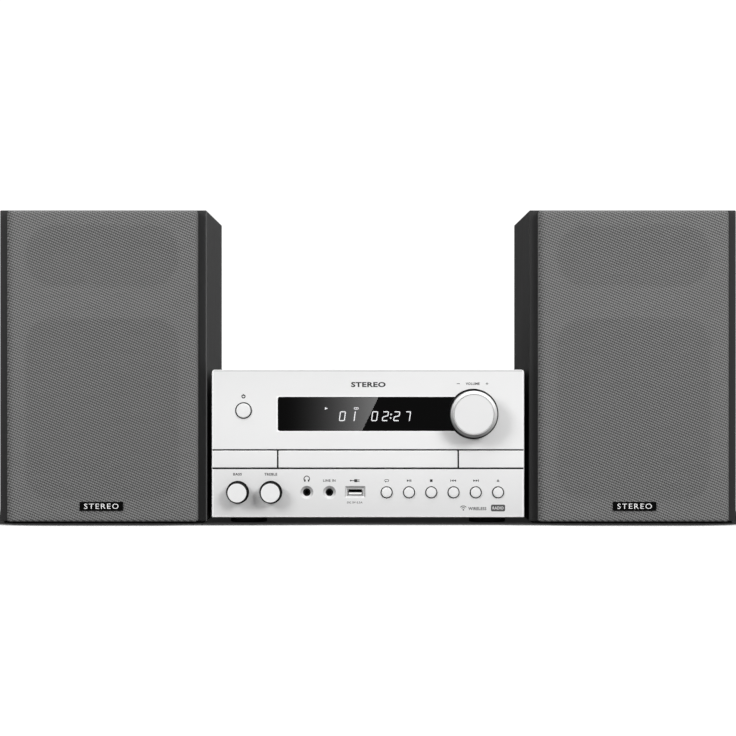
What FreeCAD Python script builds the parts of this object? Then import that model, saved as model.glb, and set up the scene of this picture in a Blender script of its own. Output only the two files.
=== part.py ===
# Mini hifi system: a CD receiver between two two-way bookshelf speakers.
# Millimetres, +Z up. X is width (right as seen from the front), Y is depth (the front faces -Y).
# Origin: on the resting plane, under the centre of the whole set.
import FreeCAD, Part
import math
import os

Vector = FreeCAD.Vector
SIDES = (-1, 1)        # left, right

# ---------------------------------------------------------------- driving dimensions
PANEL_W = 269.4        # receiver front panel
PANEL_H = 127.35
PANEL_Z0 = 5.2         # underside of the front panel
PANEL_T = 4.0
SUBFRAME_T = 2.5       # moulded sub-frame behind the panel
FRONT = -120.0         # front plane of the panel and of the cabinets
REAR = 123.0           # front side of the receiver's rear panel
SHEET_T = 1.2          # rear panel and bottom chassis
BAND_Z0, BAND_Z1 = 47.35, 63.32   # centre lines of the two horizontal grooves
BAND_X = 77.9          # centre line of the gaps beside the tray door
GAP = 1.3              # width of grooves and tray gap
WINDOW_Z0, WINDOW_Z1 = 79.6, 109.1
KNOB_X, KNOB_Z, KNOB_R = 90.8, 94.3, 20.2   # volume knob
KNOB_HOLE = 21.8       # round opening the volume knob sits in
KNOB_OUT = 17.0        # volume knob stands this far out of the panel
TONE_X = (-112.5, -83.9)        # bass and treble knobs
TONE_R, TONE_HOLE, TONE_OUT = 8.9, 9.95, 12.0
ROW_Z = 26.7           # height of the lower row of controls
POWER_X, POWER_Z, POWER_R = -107.4, 97.3, 6.2
KEY_X = (16.1, 35.4, 54.6, 73.8, 93.0, 112.2)   # six function keys
KEY_R, KEY_HOLE, KEY_OUT = 4.35, 5.25, 2.2
JACK_X = (-52.8, -33.3)         # headphone and line sockets
USB_X = -11.05
PCB_FRONT = -107.0     # front side of the control board
SPEAKER_X = 228.3      # centre of each speaker
SPEAKER_W, SPEAKER_D, SPEAKER_H = 178.6, 225.0, 270.0
WOOFER_Z, TWEETER_Z = 99.2, 230.7   # driver centres
GRILLE_HALF_W = 81.8
GRILLE_Z0, GRILLE_Z1 = 2.0, 269.2
GRILLE_T = 10.0        # grille stands this far out of the cabinet front

PANEL_HALF = PANEL_W / 2
PANEL_TOP = PANEL_Z0 + PANEL_H
PANEL_BACK = FRONT + PANEL_T
SUBFRAME_BACK = PANEL_BACK + SUBFRAME_T
REAR_FACE = REAR + SHEET_T      # outer face of the rear panel
DOOR_X, OPEN_X = BAND_X - GAP / 2, BAND_X + GAP / 2
DOOR_Z = (BAND_Z0 + GAP / 2, BAND_Z1 - GAP / 2)
OPEN_Z = (BAND_Z0 - GAP / 2, BAND_Z1 + GAP / 2)

os.makedirs("parts", exist_ok=True)


# ---------------------------------------------------------------- helpers
def box(x0, x1, y0, y1, z0, z1):
    """Box between limits; the X limits may come in either order."""
    x0, x1 = sorted((x0, x1))
    return Part.makeBox(x1 - x0, y1 - y0, z1 - z0, Vector(x0, y0, z0))


def block(x, z, half_x, half_z, y0, y1):
    """Box centred on (x, z)."""
    return box(x - half_x, x + half_x, y0, y1, z - half_z, z + half_z)


def cyl_x(radius, y, z, x0, x1):
    """Cylinder along X; the X limits may come in either order."""
    x0, x1 = sorted((x0, x1))
    return Part.makeCylinder(radius, x1 - x0, Vector(x0, y, z), Vector(1, 0, 0))


def cyl_y(radius, x, z, y0, y1):
    return Part.makeCylinder(radius, y1 - y0, Vector(x, y0, z), Vector(0, 1, 0))


def cyl_z(radius, x, y, z0, z1):
    return Part.makeCylinder(radius, z1 - z0, Vector(x, y, z0), Vector(0, 0, 1))


def cone_y(radius0, radius1, x, z, y0, y1):
    return Part.makeCone(radius0, radius1, y1 - y0, Vector(x, y0, z), Vector(0, 1, 0))


def round_wire(x0, x1, z0, z1, radii, y):
    """Rounded rectangle in the XZ plane; radii are bottom-left, bottom-right,
    top-right, top-left."""
    bottom_l, bottom_r, top_r, top_l = radii
    # corner arcs: centre x, centre z, radius, start angle
    corners = [(x1 - bottom_r, z0 + bottom_r, bottom_r, -90), (x1 - top_r, z1 - top_r, top_r, 0),
               (x0 + top_l, z1 - top_l, top_l, 90), (x0 + bottom_l, z0 + bottom_l, bottom_l, 180)]
    arcs = [[Vector(x + radius * math.cos(math.radians(start + turn)), y,
                    z + radius * math.sin(math.radians(start + turn))) for turn in (0, 45, 90)]
            for x, z, radius, start in corners]
    edges = []
    for i, arc in enumerate(arcs):
        edges += [Part.makeLine(arcs[i - 1][2], arc[0]), Part.Arc(*arc).toShape()]
    return Part.Wire(edges)


def slab(x0, x1, z0, z1, radius, y0, y1):
    """Rounded rectangle extruded along Y; radius is one value or four."""
    radii = radius if isinstance(radius, tuple) else (radius,) * 4
    return Part.Face(round_wire(x0, x1, z0, z1, radii, y0)).extrude(Vector(0, y1 - y0, 0))


def round_block(x, z, half_x, half_z, radius, y0, y1):
    """Slab centred on (x, z)."""
    return slab(x - half_x, x + half_x, z - half_z, z + half_z, radius, y0, y1)


def fuse(first, *rest):
    return first.fuse(list(rest)).removeSplitter()


def polygon(points):
    return Part.Face(Part.makePolygon(points + [points[0]]))


def revolve_y(points, x, z, y_from=0.0):
    """Solid of revolution about an axis along Y; points are (radius, y - y_from)."""
    face = polygon([Vector(radius, y_from + y, 0) for radius, y in points])
    solid = face.revolve(Vector(0, 0, 0), Vector(0, 1, 0), 360)
    solid.translate(Vector(x, 0, z))
    return solid


def revolve_z(points, x, y):
    """Solid of revolution about a vertical axis; points are (radius, z)."""
    face = polygon([Vector(radius, 0, z) for radius, z in points])
    solid = face.revolve(Vector(0, 0, 0), Vector(0, 0, 1), 360)
    solid.translate(Vector(x, y, 0))
    return solid


def prism_z(points, z0, z1):
    return polygon([Vector(x, y, z0) for x, y in points]).extrude(Vector(0, 0, z1 - z0))


def chamfer_front(shape, size):
    """Chamfer every edge lying in the front plane."""
    rim = [edge for edge in shape.Edges
           if all(abs(vertex.Point.y - FRONT) < 1e-6 for vertex in edge.Vertexes)]
    return shape.makeChamfer(size, rim)


def save(name, *shapes):
    solids = [solid for shape in shapes for solid in shape.Solids]
    result = solids[0] if len(solids) == 1 else Part.makeCompound(solids)
    result.exportStep(os.path.join("parts", name + ".step"))


# ---------------------------------------------------------------- receiver: front
def usb_opening(y0, y1):
    return block(USB_X, ROW_Z, 6.9, 3.15, y0, y1)


def groove(z, inward, side):
    """Groove cutter: square outer edge, bevelled edge towards the middle band."""
    half = inward * GAP / 2
    bevel = half + inward * 0.5
    x0, x1 = sorted((side * (OPEN_X - 0.3), side * (PANEL_HALF + 1)))
    # y from the front plane, z from the centre line
    profile = [(-1, -half), (1.4, -half), (1.4, half), (0.45, half), (-0.05, bevel), (-1, bevel)]
    points = [Vector(x0, FRONT + depth, z + rise) for depth, rise in profile]
    return polygon(points).extrude(Vector(x1 - x0, 0, 0))


def front_panel():
    through = (FRONT - 1, PANEL_BACK + 1)
    panel = slab(-PANEL_HALF, PANEL_HALF, PANEL_Z0, PANEL_TOP, (0.9, 0.9, 2.4, 2.4),
                 FRONT, PANEL_BACK)
    panel = chamfer_front(panel, 0.5)
    cuts = [slab(-BAND_X, KNOB_X - 6, WINDOW_Z0, WINDOW_Z1, 1.9, *through),
            cyl_y(KNOB_HOLE, KNOB_X, KNOB_Z, *through),
            box(-OPEN_X, OPEN_X, *through, *OPEN_Z),
            cyl_y(POWER_R + 1.0, POWER_X, POWER_Z, *through)]
    cuts += [groove(z, inward, side) for z, inward in ((BAND_Z0, 1), (BAND_Z1, -1))
             for side in SIDES]
    cuts += [cyl_y(TONE_HOLE, x, ROW_Z, *through) for x in TONE_X]
    cuts += [cyl_y(KEY_HOLE, x, ROW_Z, *through) for x in KEY_X]
    for x in JACK_X:
        cuts += [cyl_y(3.3, x, ROW_Z, *through),
                 cone_y(5.7, 3.3, x, ROW_Z, FRONT - 0.01, FRONT + 2.0)]
    # the USB opening has a sloping surround
    outer = round_wire(USB_X - 8.9, USB_X + 8.9, ROW_Z - 4.9, ROW_Z + 5.5, (0.8,) * 4, FRONT - 0.01)
    inner = round_wire(USB_X - 7.3, USB_X + 7.3, ROW_Z - 3.4, ROW_Z + 3.5, (0.5,) * 4, FRONT + 1.6)
    cuts += [Part.makeLoft([outer, inner], True, True), usb_opening(*through)]
    save("front_panel", panel.cut(cuts))


def front_subframe():
    through = (PANEL_BACK - 1, SUBFRAME_BACK + 1)
    frame = slab(-133, 133, 7.6, 129.8, 1.5, PANEL_BACK, SUBFRAME_BACK)
    for x in (-131.5, 130.0):   # side ribs
        frame = frame.fuse(box(x, x + 1.5, SUBFRAME_BACK - 0.5, SUBFRAME_BACK + 6, 12, 126))
    cuts = [box(-66.6, 60.6, *through, WINDOW_Z0 + 2.2, WINDOW_Z1 - 2.2),
            box(-OPEN_X, OPEN_X, PANEL_BACK - 1, SUBFRAME_BACK + 8, *OPEN_Z),
            cyl_y(4.0, KNOB_X, KNOB_Z, *through),
            cyl_y(POWER_R + 0.2, POWER_X, POWER_Z, *through),
            usb_opening(*through)]
    for radius, places in ((4.0, TONE_X), (KEY_R + 0.2, KEY_X), (3.5, JACK_X)):
        cuts += [cyl_y(radius, x, ROW_Z, *through) for x in places]
    save("front_subframe", frame.cut(cuts))


front_panel()
front_subframe()

lens = slab(-BAND_X + 0.1, KNOB_X - 6.5, WINDOW_Z0 + 0.1, WINDOW_Z1 - 0.1, 1.8,
            FRONT, PANEL_BACK - 0.05)
save("display_lens", lens.cut(cyl_y(KNOB_HOLE + 0.12, KNOB_X, KNOB_Z, FRONT - 1, PANEL_BACK + 1)))

save("display_module",
     fuse(box(-66, 60, PANEL_BACK + 0.2, PCB_FRONT - 0.6, WINDOW_Z0 + 2.6, WINDOW_Z1 - 2.6),
          box(-58, 52, PANEL_BACK + 0.05, PANEL_BACK + 0.3, WINDOW_Z0 + 4.5, WINDOW_Z1 - 4.5)))

# ---------------------------------------------------------------- receiver: casing
CASE_X, COVER_T = 134.0, 1.0    # half width of the cover and its sheet thickness
CASE_TOP = PANEL_TOP - 0.7
BASE_X, BASE_Z0 = 132.6, 6.0
SIDE_SCREW_Z = 14.5
SIDE_SCREWS = [(side, y) for side in SIDES for y in (-96.0, 108.0)]
FEET = [(-104, -92), (104, -92), (-104, 104), (104, 104)]           # x, y
BOARD_POSTS = [(-56, 70), (122, 70), (-56, 115), (122, 115)]        # x, y
REAR_SCREWS = [(-126, 16), (126, 16), (-126, 122), (126, 122), (0, 122), (-70, 16)]   # x, z
ANTENNA = (70, 104)             # x, z
INLET = (-108, 33)              # x, z of the mains inlet
CROSS = ((2.2, 0.35), (0.35, 2.2))   # half sizes of the two arms of a screw recess


def top_cover():
    depth = (PANEL_BACK + 0.1, REAR_FACE)
    cover = fuse(box(-CASE_X, CASE_X, *depth, CASE_TOP - COVER_T, CASE_TOP),
                 box(-CASE_X, -CASE_X + COVER_T, *depth, 7.0, CASE_TOP),
                 box(CASE_X - COVER_T, CASE_X, *depth, 7.0, CASE_TOP))
    long_edges = []   # outer top edges, front to back
    for edge in cover.Edges:
        if len(edge.Vertexes) == 2:
            start, end = (vertex.Point for vertex in edge.Vertexes)
            if (abs(start.y - end.y) > 100 and abs(abs(start.x) - CASE_X) < 1e-6
                    and abs(start.z - CASE_TOP) < 1e-6):
                long_edges.append(edge)
    cover = cover.makeFillet(0.95, long_edges)
    cuts = []
    for i in range(9):   # two columns of slots
        y = -30 + i * 12.0
        cuts += [box(x, x + 44, y, y + 3.2, CASE_TOP - 2, CASE_TOP + 1) for x in (-60, 16)]
    cuts += [cyl_x(1.7, y, SIDE_SCREW_Z, side * CASE_X - 3, side * CASE_X + 3)
             for side, y in SIDE_SCREWS]
    save("top_cover", cover.cut(cuts))


def bottom_chassis():
    back = REAR - 0.2
    base = box(-BASE_X, BASE_X, SUBFRAME_BACK + 0.3, back, BASE_Z0, BASE_Z0 + SHEET_T)
    base = fuse(base, *[box(side * BASE_X, side * (BASE_X - SHEET_T), SUBFRAME_BACK + 9, back,
                            BASE_Z0, 21.0) for side in SIDES])
    for x, y in BOARD_POSTS:
        base = base.fuse(cyl_z(3.0, x, y, 7.0, 11.95))
    save("bottom_chassis", base.cut(
        [cyl_x(1.7, y, SIDE_SCREW_Z, side * 132 - 3, side * 132 + 3) for side, y in SIDE_SCREWS]
        + [cyl_z(2.1, x, y, 5, 8) for x, y in FEET]))


def rear_panel():
    through = (REAR - 1, REAR + 3)
    panel = box(-132.8, 132.8, REAR, REAR_FACE, 7.3, CASE_TOP - COVER_T - 0.2)
    cuts = [box(-52, -4, *through, 22.0, 44.0), cyl_y(5.0, *ANTENNA, *through),
            round_block(*INLET, 10, 5, 3.0, *through)]
    cuts += [cyl_y(1.65, x, z, *through) for x, z in REAR_SCREWS]
    # grid of vent slots
    cuts += [slab(20 + i * 14, 29 + i * 14, 60 + j * 8, 63 + j * 8, 1.4, *through)
             for i in range(7) for j in range(4)]
    save("rear_panel", panel.cut(cuts))


def unit_screws():
    screws = []
    for x, z in REAR_SCREWS:
        screw = fuse(cyl_y(3.2, x, z, REAR_FACE + 0.05, REAR_FACE + 1.9),
                     cyl_y(1.45, x, z, REAR_FACE - 7, REAR_FACE + 0.2))
        screws.append(screw.cut([block(x, z, half_x, half_z, REAR_FACE + 1.1, REAR_FACE + 3)
                                 for half_x, half_z in CROSS]))
    z = SIDE_SCREW_Z
    for side, y in SIDE_SCREWS:
        screw = fuse(cyl_x(3.2, y, z, side * (CASE_X + 0.05), side * (CASE_X + 1.6)),
                     cyl_x(1.5, y, z, side * (CASE_X - 6), side * (CASE_X + 0.3)))
        screws.append(screw.cut([box(side * (CASE_X + 0.9), side * (CASE_X + 3), y - half_y,
                                     y + half_y, z - half_z, z + half_z)
                                 for half_y, half_z in CROSS]))
    save("unit_screws", *screws)


top_cover()
bottom_chassis()
rear_panel()
unit_screws()

FOOT = [(0, 0.9), (11.5, 0.9), (12.0, 0.0), (15.2, 0.0), (16.0, 0.8), (15.0, 5.9),
        (2.0, 5.95), (2.0, 8.6), (0, 8.6)]   # radius, z
save("unit_feet", *[revolve_z(FOOT, x, y) for x, y in FEET])

# ---------------------------------------------------------------- receiver: rear connectors
terminals = fuse(box(-54, -2, REAR_FACE + 0.05, REAR_FACE + 2.0, 20, 46),
                 box(-51, -5, REAR - 8, REAR_FACE + 0.5, 23, 43))
for x in (-45.5, -34.5, -21.5, -10.5):
    terminals = fuse(terminals, cyl_y(4.4, x, 33, REAR_FACE + 1.5, REAR_FACE + 11.5),
                     cyl_y(3.2, x, 33, REAR_FACE + 1.5, REAR_FACE + 12.2))
save("rear_terminals", terminals)

antenna = fuse(cyl_y(6.5, *ANTENNA, REAR_FACE + 0.05, REAR_FACE + 2.0),
               cyl_y(4.75, *ANTENNA, REAR_FACE + 1.5, REAR_FACE + 12.8),
               cyl_y(4.6, *ANTENNA, REAR - 10, REAR_FACE + 0.5))
antenna = antenna.cut(cyl_y(3.4, *ANTENNA, REAR_FACE + 3.0, REAR_FACE + 14))
save("antenna_socket", fuse(antenna, cyl_y(1.1, *ANTENNA, REAR_FACE + 2.5, REAR_FACE + 11.0)))

# ---------------------------------------------------------------- receiver: electronics
BOARD_Z0, BOARD_T = 12, 1.6
BOARD_Z1 = BOARD_Z0 + BOARD_T

# main board with two flat blocks and four upright cylinders
board = fuse(box(-62, 128, 64, 121, BOARD_Z0, BOARD_Z1), box(36, 60, 78, 102, 13.5, 17.5),
             box(70, 84, 90, 104, 13.5, 16.0))
for x, y in ((100, 78), (119, 78), (100, 98), (119, 98)):
    board = board.fuse(cyl_z(7.5, x, y, 13.5, 38))
save("main_board", board.cut([cyl_z(1.6, x, y, 10, 15) for x, y in BOARD_POSTS]))

FIN_PITCH, FIN_T = 7.2, 2.4
sink = box(-50, 10, 84, 90, 13.8, 62)
for i in range(9):
    x = -50 + i * FIN_PITCH
    sink = sink.fuse(box(x, x + FIN_T, 70, 84.5, 13.8, 62))
save("heatsink", sink.removeSplitter())

transformer = fuse(box(-124, -82, 34, 76, BOARD_Z1, 52), box(-118, -88, 28, 82, 19, 46))
inlet = fuse(round_block(*INLET, 9.5, 4.5, 2.8, REAR - 14, REAR_FACE),
             box(-118, -98, REAR - 16, REAR - 2, BOARD_Z1, 39))
inlet = inlet.cut([round_block(*INLET, 8, 3, 2.2, REAR - 11, REAR_FACE + 1)])
inlet = inlet.fuse([cyl_y(1.2, INLET[0] + offset, INLET[1], REAR - 12, REAR - 1)
                    for offset in (-3.5, 3.5)])
save("power_supply", box(-127.6, -76, 20, 121, BOARD_Z0, BOARD_Z1), transformer,
     inlet.removeSplitter())

through_pcb = (PCB_FRONT - 1, PCB_FRONT + 3)
control = box(-129, 129, PCB_FRONT, PCB_FRONT + BOARD_T, 12, 126).cut(
    [box(-82, 82, *through_pcb, 44.5, 70), block(USB_X, ROW_Z, 8, 5, *through_pcb)]
    + [block(x, ROW_Z, 5.5, 5.5, *through_pcb) for x in JACK_X])
save("control_board", fuse(control, box(-20, 20, PCB_FRONT + 1.5, PCB_FRONT + 4.0, 86, 104)))

save("key_switches", *[
    fuse(block(x, z, 3, 3, PCB_FRONT - 2.8, PCB_FRONT - 0.05),
         cyl_y(1.7, x, z, PCB_FRONT - 3.5, PCB_FRONT - 2.7))
    for x, z in [(POWER_X, POWER_Z)] + [(x, ROW_Z) for x in KEY_X]])

SHAFT_R = 3.0          # shafts of the three knobs
rotary = []
for x, z in ((KNOB_X, KNOB_Z), (TONE_X[0], ROW_Z), (TONE_X[1], ROW_Z)):
    body = fuse(block(x, z, 6.3, 6.3, SUBFRAME_BACK + 0.9, PCB_FRONT - 0.05),
                cyl_y(3.7, x, z, PANEL_BACK + 0.1, SUBFRAME_BACK + 1.2))
    rotary.append(body.cut(cyl_y(SHAFT_R + 0.06, x, z, PANEL_BACK - 1, PCB_FRONT - 0.9)))
save("rotary_controls", *rotary)

jacks = []
for x in JACK_X:
    jack = fuse(block(x, ROW_Z, 5, 5, SUBFRAME_BACK + 0.1, -99.0),
                cyl_y(3.15, x, ROW_Z, FRONT + 1.95, SUBFRAME_BACK + 0.5))
    jacks.append(jack.cut([cyl_y(1.8, x, ROW_Z, FRONT, -102.0),
                           cone_y(2.4, 1.8, x, ROW_Z, FRONT + 1.94, PANEL_BACK - 0.6)]))
save("audio_jacks", *jacks)

usb = round_block(USB_X, ROW_Z, 6.6, 2.9, 0.5, FRONT + 1.4, -104.0)
usb = usb.cut(round_block(USB_X, ROW_Z, 6.25, 2.56, 0.3, FRONT, -105.0))
save("usb_port", fuse(usb, box(USB_X - 5.6, USB_X + 5.6, FRONT + 1.7, -104.5,
                               ROW_Z - 1.85, ROW_Z - 0.25)))

# ---------------------------------------------------------------- knobs and keys
BORE_R = SHAFT_R + 0.05
SHAFT_END = PCB_FRONT - 1.0

# knob profiles: radius, distance behind the knob's face
VOLUME_PROFILE = [
    (0, 0.3), (16.75, 0.3), (16.9, 0.75), (17.25, 0.75), (17.4, 0), (17.8, 0.12),
    (KNOB_R - 0.35, 1.95), (KNOB_R, 2.6), (KNOB_R, KNOB_OUT + 2.6),
    (KNOB_R - 2.0, KNOB_OUT + 2.6), (KNOB_R - 2.0, 4.5), (6.0, 4.5), (6.0, KNOB_OUT + 1.5),
    (BORE_R, KNOB_OUT + 1.5), (BORE_R, 6.0), (0, 6.0)]
TONE_PROFILE = [
    (0, 0), (TONE_R - 0.8, 0), (TONE_R, 0.8), (TONE_R, TONE_OUT + 2.6),
    (TONE_R - 1.6, TONE_OUT + 2.6), (TONE_R - 1.6, 3.0), (5.0, 3.0), (5.0, TONE_OUT + 1.5),
    (BORE_R, TONE_OUT + 1.5), (BORE_R, 4.0), (0, 4.0)]


def save_knob(name, profile, x, z, face):
    """Hollow knob and its shaft."""
    shaft_start = face + profile[-1][1] + 0.05
    save(name, revolve_y(profile, x, z, face), cyl_y(SHAFT_R, x, z, shaft_start, SHAFT_END))


def key(x, z, radius):
    """Domed key with a flange behind the sub-frame and a stem towards its switch."""
    face = FRONT - KEY_OUT
    flange = SUBFRAME_BACK + 0.1
    return revolve_y([(0, face - 0.1), (radius * 0.55, face - 0.03), (radius - 0.5, face + 0.1),
                      (radius, face + 0.6), (radius, flange), (radius + 1.4, flange),
                      (radius + 1.4, flange + 1), (1.6, flange + 1),
                      (1.6, PCB_FRONT - 4.4), (0, PCB_FRONT - 4.4)], x, z)


save_knob("volume_knob", VOLUME_PROFILE, KNOB_X, KNOB_Z, FRONT - KNOB_OUT)
save_knob("bass_knob", TONE_PROFILE, TONE_X[0], ROW_Z, FRONT - TONE_OUT)
save_knob("treble_knob", TONE_PROFILE, TONE_X[1], ROW_Z, FRONT - TONE_OUT)
save("power_button", key(POWER_X, POWER_Z, POWER_R))
for name, x in zip(("source", "play", "stop", "back", "next", "eject"), KEY_X):
    save(name + "_button", key(x, ROW_Z, KEY_R))

# ---------------------------------------------------------------- CD loader
DISC = (0.0, -43.0)    # x, y of the disc centre with the tray shut
LOADER_X = 72.0        # half width of the loader
MODULE = 0.8           # gear module
N_GEAR, N_PINION = 30, 18
N_RACK = 64
PRESSURE_ANGLE = math.radians(20)
ADDENDUM, DEDENDUM = 0.95 * MODULE, 1.25 * MODULE
TOOTH_SLACK = 0.06     # taken off each flank at the pitch line
GEAR = (-42.0, -88.0)  # x, y of the tray gear
PINION = (GEAR[0] + MODULE * (N_GEAR + N_PINION) / 2, GEAR[1])
MOTOR = (13.0, GEAR[1])         # loading motor shaft
RACK_X = GEAR[0] - MODULE * N_GEAR / 2   # rack pitch line
PIN_R, PIN_BORE = 1.5, 1.56     # gear pins, deck hinges and sled rods, and their bores
HINGE = (48.0, 41.25)           # y, z of the deck hinge
ROD_X, ROD_Z = (-18, 18), 46.5


def belt_loop(centre1, radius1, centre2, radius2, z):
    """Closed wire round two circles whose centres differ only in X (centre1 on the left)."""
    angle = math.acos((radius1 - radius2) / (centre2[0] - centre1[0]))

    def point(centre, radius, turn):
        return Vector(centre[0] + radius * math.cos(turn), centre[1] + radius * math.sin(turn), z)

    def arc(centre, radius, *turns):
        return Part.Arc(*[point(centre, radius, turn) for turn in turns]).toShape()

    return Part.Wire([
        Part.makeLine(point(centre1, radius1, -angle), point(centre2, radius2, -angle)),
        arc(centre2, radius2, -angle, 0, angle),
        Part.makeLine(point(centre2, radius2, angle), point(centre1, radius1, angle)),
        arc(centre1, radius1, angle, math.pi, -angle)])


def involute(angle):
    return math.tan(angle) - angle


def gear_outline(teeth, centre, first_tooth, steps=4):
    """Involute spur gear outline, with a tooth centred at angle first_tooth.
    The root circle must lie inside the base circle."""
    pitch_r = MODULE * teeth / 2
    base_r = pitch_r * math.cos(PRESSURE_ANGLE)
    tip_r = pitch_r + ADDENDUM
    base_half = math.pi / (2 * teeth) - TOOTH_SLACK / pitch_r + involute(PRESSURE_ANGLE)
    flank = [(pitch_r - DEDENDUM, base_half)]   # radius, half angle of the tooth
    for i in range(steps + 1):
        radius = base_r + (tip_r - base_r) * i / steps
        flank.append((radius, base_half - involute(math.acos(base_r / radius))))
    tooth = [(radius, -half) for radius, half in flank] + flank[::-1]
    points = []
    for k in range(teeth):
        middle = first_tooth + 2 * math.pi * k / teeth
        points += [(centre[0] + radius * math.cos(middle + turn),
                    centre[1] + radius * math.sin(middle + turn)) for radius, turn in tooth]
    return points


def loader_base():
    rails = [box(side * 69.2, side * LOADER_X, -105.0, 62.0, 34.0, 60.9) for side in SIDES]
    ledges = [box(side * 62.5, side * 69.3, -105.0, 60.0, 49.6, 51.75) for side in SIDES]
    hinge_posts = [box(side * 33.0, side * 37.4, 43.0, 59.5, 36.0, 46.0) for side in (1, -1)]
    base = fuse(*rails,
                box(-LOADER_X, LOADER_X, 59.0, 62.0, 34.0, 50.0),
                box(-LOADER_X, LOADER_X, -105.0, -102.6, 34.0, 46.0),
                *ledges,
                box(-60, 28, -103.0, -74.0, 37.0, 39.0),   # gear shelf
                *hinge_posts,
                cyl_z(PIN_R, *GEAR, 38.5, 51.2), cyl_z(3.5, *GEAR, 38.5, 46.6),
                cyl_z(PIN_R, *PINION, 38.5, 51.2), cyl_z(3.0, *PINION, 38.5, 40.8))
    for side in SIDES:
        for y in (-98.0, -20.0, 40.0):   # tabs above the tray
            base = base.fuse(box(side * 69.4, side * 65.5, y, y + 8, 59.0, 60.5))
        for y in (-100.0, 51.0):         # legs down to the chassis
            base = base.fuse(box(side * LOADER_X, side * 64.0, y, y + 9, 7.25, 34.5))
    base = base.cut([cyl_x(PIN_BORE, *HINGE, 30, 40), cyl_x(PIN_BORE, *HINGE, -40, -30),
                     cyl_z(3.6, *MOTOR, 30, 45)])
    save("loader_base", base.removeSplitter())


def rack():
    """Toothed rack under the tray; the gear's centre line meets a space between teeth."""
    back_x, root, tip = RACK_X - 5.0, RACK_X - DEDENDUM, RACK_X + ADDENDUM
    pitch = math.pi * MODULE
    start = GEAR[1] - pitch * 6
    half = pitch / 4 - TOOTH_SLACK
    root_half = half + DEDENDUM * math.tan(PRESSURE_ANGLE)
    tip_half = half - ADDENDUM * math.tan(PRESSURE_ANGLE)
    points = [(back_x, -104.0), (root, -104.0)]
    for i in range(N_RACK):
        y = start + pitch * (i + 0.5)
        points += [(root, y - root_half), (tip, y - tip_half),
                   (tip, y + tip_half), (root, y + root_half)]
    end = start + pitch * N_RACK + 1.0
    points += [(root, end), (back_x, end)]
    return prism_z(points, 48.8, 52.2).common(box(-80, 80, -110, 57.0, 40, 60))


def cd_tray():
    disc_y = DISC[1]
    tray = box(-68.8, 68.8, PANEL_BACK + 0.05, 57.0, 52.0, 58.5)
    # disc recesses, centre opening, slot behind it and two rear pockets
    tray = tray.cut([cyl_z(60.8, *DISC, 54.8, 60), cyl_z(40.8, *DISC, 54.0, 60),
                     cyl_z(18.0, *DISC, 50, 60), box(-22, 22, disc_y, 60, 50, 60),
                     box(-66.5, -24, disc_y + 62.5, 49.5, 54.8, 60),
                     box(24, 66.5, disc_y + 62.5, 49.5, 54.8, 60)])
    save("cd_tray", fuse(tray, rack()))


def traverse_deck():
    """Pick-up deck, hinged at the back, with its two rods and the spindle motor."""
    deck = fuse(box(-32, 32, -70, 52, 40.0, 42.5), cyl_x(PIN_R, *HINGE, 30, 37.3),
                cyl_x(PIN_R, *HINGE, -37.3, -30))
    for x in ROD_X:
        for y in (-32.0, 42.0):
            deck = deck.fuse(box(x - 3, x + 3, y, y + 4, 42.0, 49.2))
    deck = deck.cut([box(-22, 22, -27.7, 41, 38, 44), cyl_z(2.2, *DISC, 38, 44)]
                    + [cyl_y(1.52, x, ROD_Z, -33, 47) for x in ROD_X])
    rods = [cyl_y(PIN_R, x, ROD_Z, -32.0, 46.0) for x in ROD_X]
    motor = cyl_z(12.0, *DISC, 27.0, 39.95).cut(cyl_z(1.06, *DISC, 33.0, 41))
    save("traverse_deck", deck.removeSplitter(), *rods, motor)


def grooved_pulley(rim, groove_r, x, y):
    return revolve_z([(0, 41.0), (rim, 41.0), (rim, 41.6), (groove_r, 42.2), (groove_r, 44.4),
                      (rim, 45.0), (rim, 45.6), (0, 45.6)], x, y)


loader_base()
cd_tray()
traverse_deck()

bridge_y0, bridge_y1 = DISC[1] - 16, DISC[1] + 16
bridge = fuse(box(-LOADER_X, LOADER_X, bridge_y0, bridge_y1, 61.0, 63.0),
              box(-LOADER_X, LOADER_X, bridge_y0, bridge_y0 + 1.5, 61.0, 67.0),
              box(-LOADER_X, LOADER_X, bridge_y1 - 1.5, bridge_y1, 61.0, 67.0))
save("clamp_bridge", bridge.cut(cyl_z(10.0, *DISC, 60, 64)))
save("clamp_puck", revolve_z([(0, 59.0), (13.5, 59.0), (13.5, 60.5), (8.0, 60.5), (8.0, 63.4),
                              (12.5, 63.4), (12.5, 64.8), (0, 64.8)], *DISC))

save("tray_door", chamfer_front(slab(-DOOR_X, DOOR_X, *DOOR_Z, 0.6, FRONT, PANEL_BACK), 0.45))

tray_gear = prism_z(gear_outline(N_GEAR, GEAR, math.pi), 47.0, 51.4)
save("tray_gear", tray_gear.cut(cyl_z(PIN_BORE, *GEAR, 40, 60)))
# the pinion is turned half a tooth to mesh with the gear
pinion = prism_z(gear_outline(N_PINION, PINION, math.pi + math.pi / N_PINION), 46.9, 51.4)
pinion = fuse(pinion, cyl_z(5.0, *PINION, 45.0, 47.0), grooved_pulley(13.0, 11.5, *PINION))
save("pulley_gear", pinion.cut(cyl_z(PIN_BORE, *PINION, 40, 60)))
save("motor_pulley", fuse(grooved_pulley(4.2, 3.0, *MOTOR), cyl_z(1.0, *MOTOR, 33.0, 41.5)))

# loading motor, with flats at front and back
motor = fuse(cyl_z(9.0, *MOTOR, 16.0, 36.9), cyl_z(3.4, *MOTOR, 36.0, 39.0))
save("loading_motor", motor.cut(
    [cyl_z(1.06, *MOTOR, 32.0, 45)]
    + [box(MOTOR[0] - 12, MOTOR[0] + 12, MOTOR[1] + y0, MOTOR[1] + y1, 10, 36)
       for y0, y1 in ((7.6, 12), (-12, -7.6))]))

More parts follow.
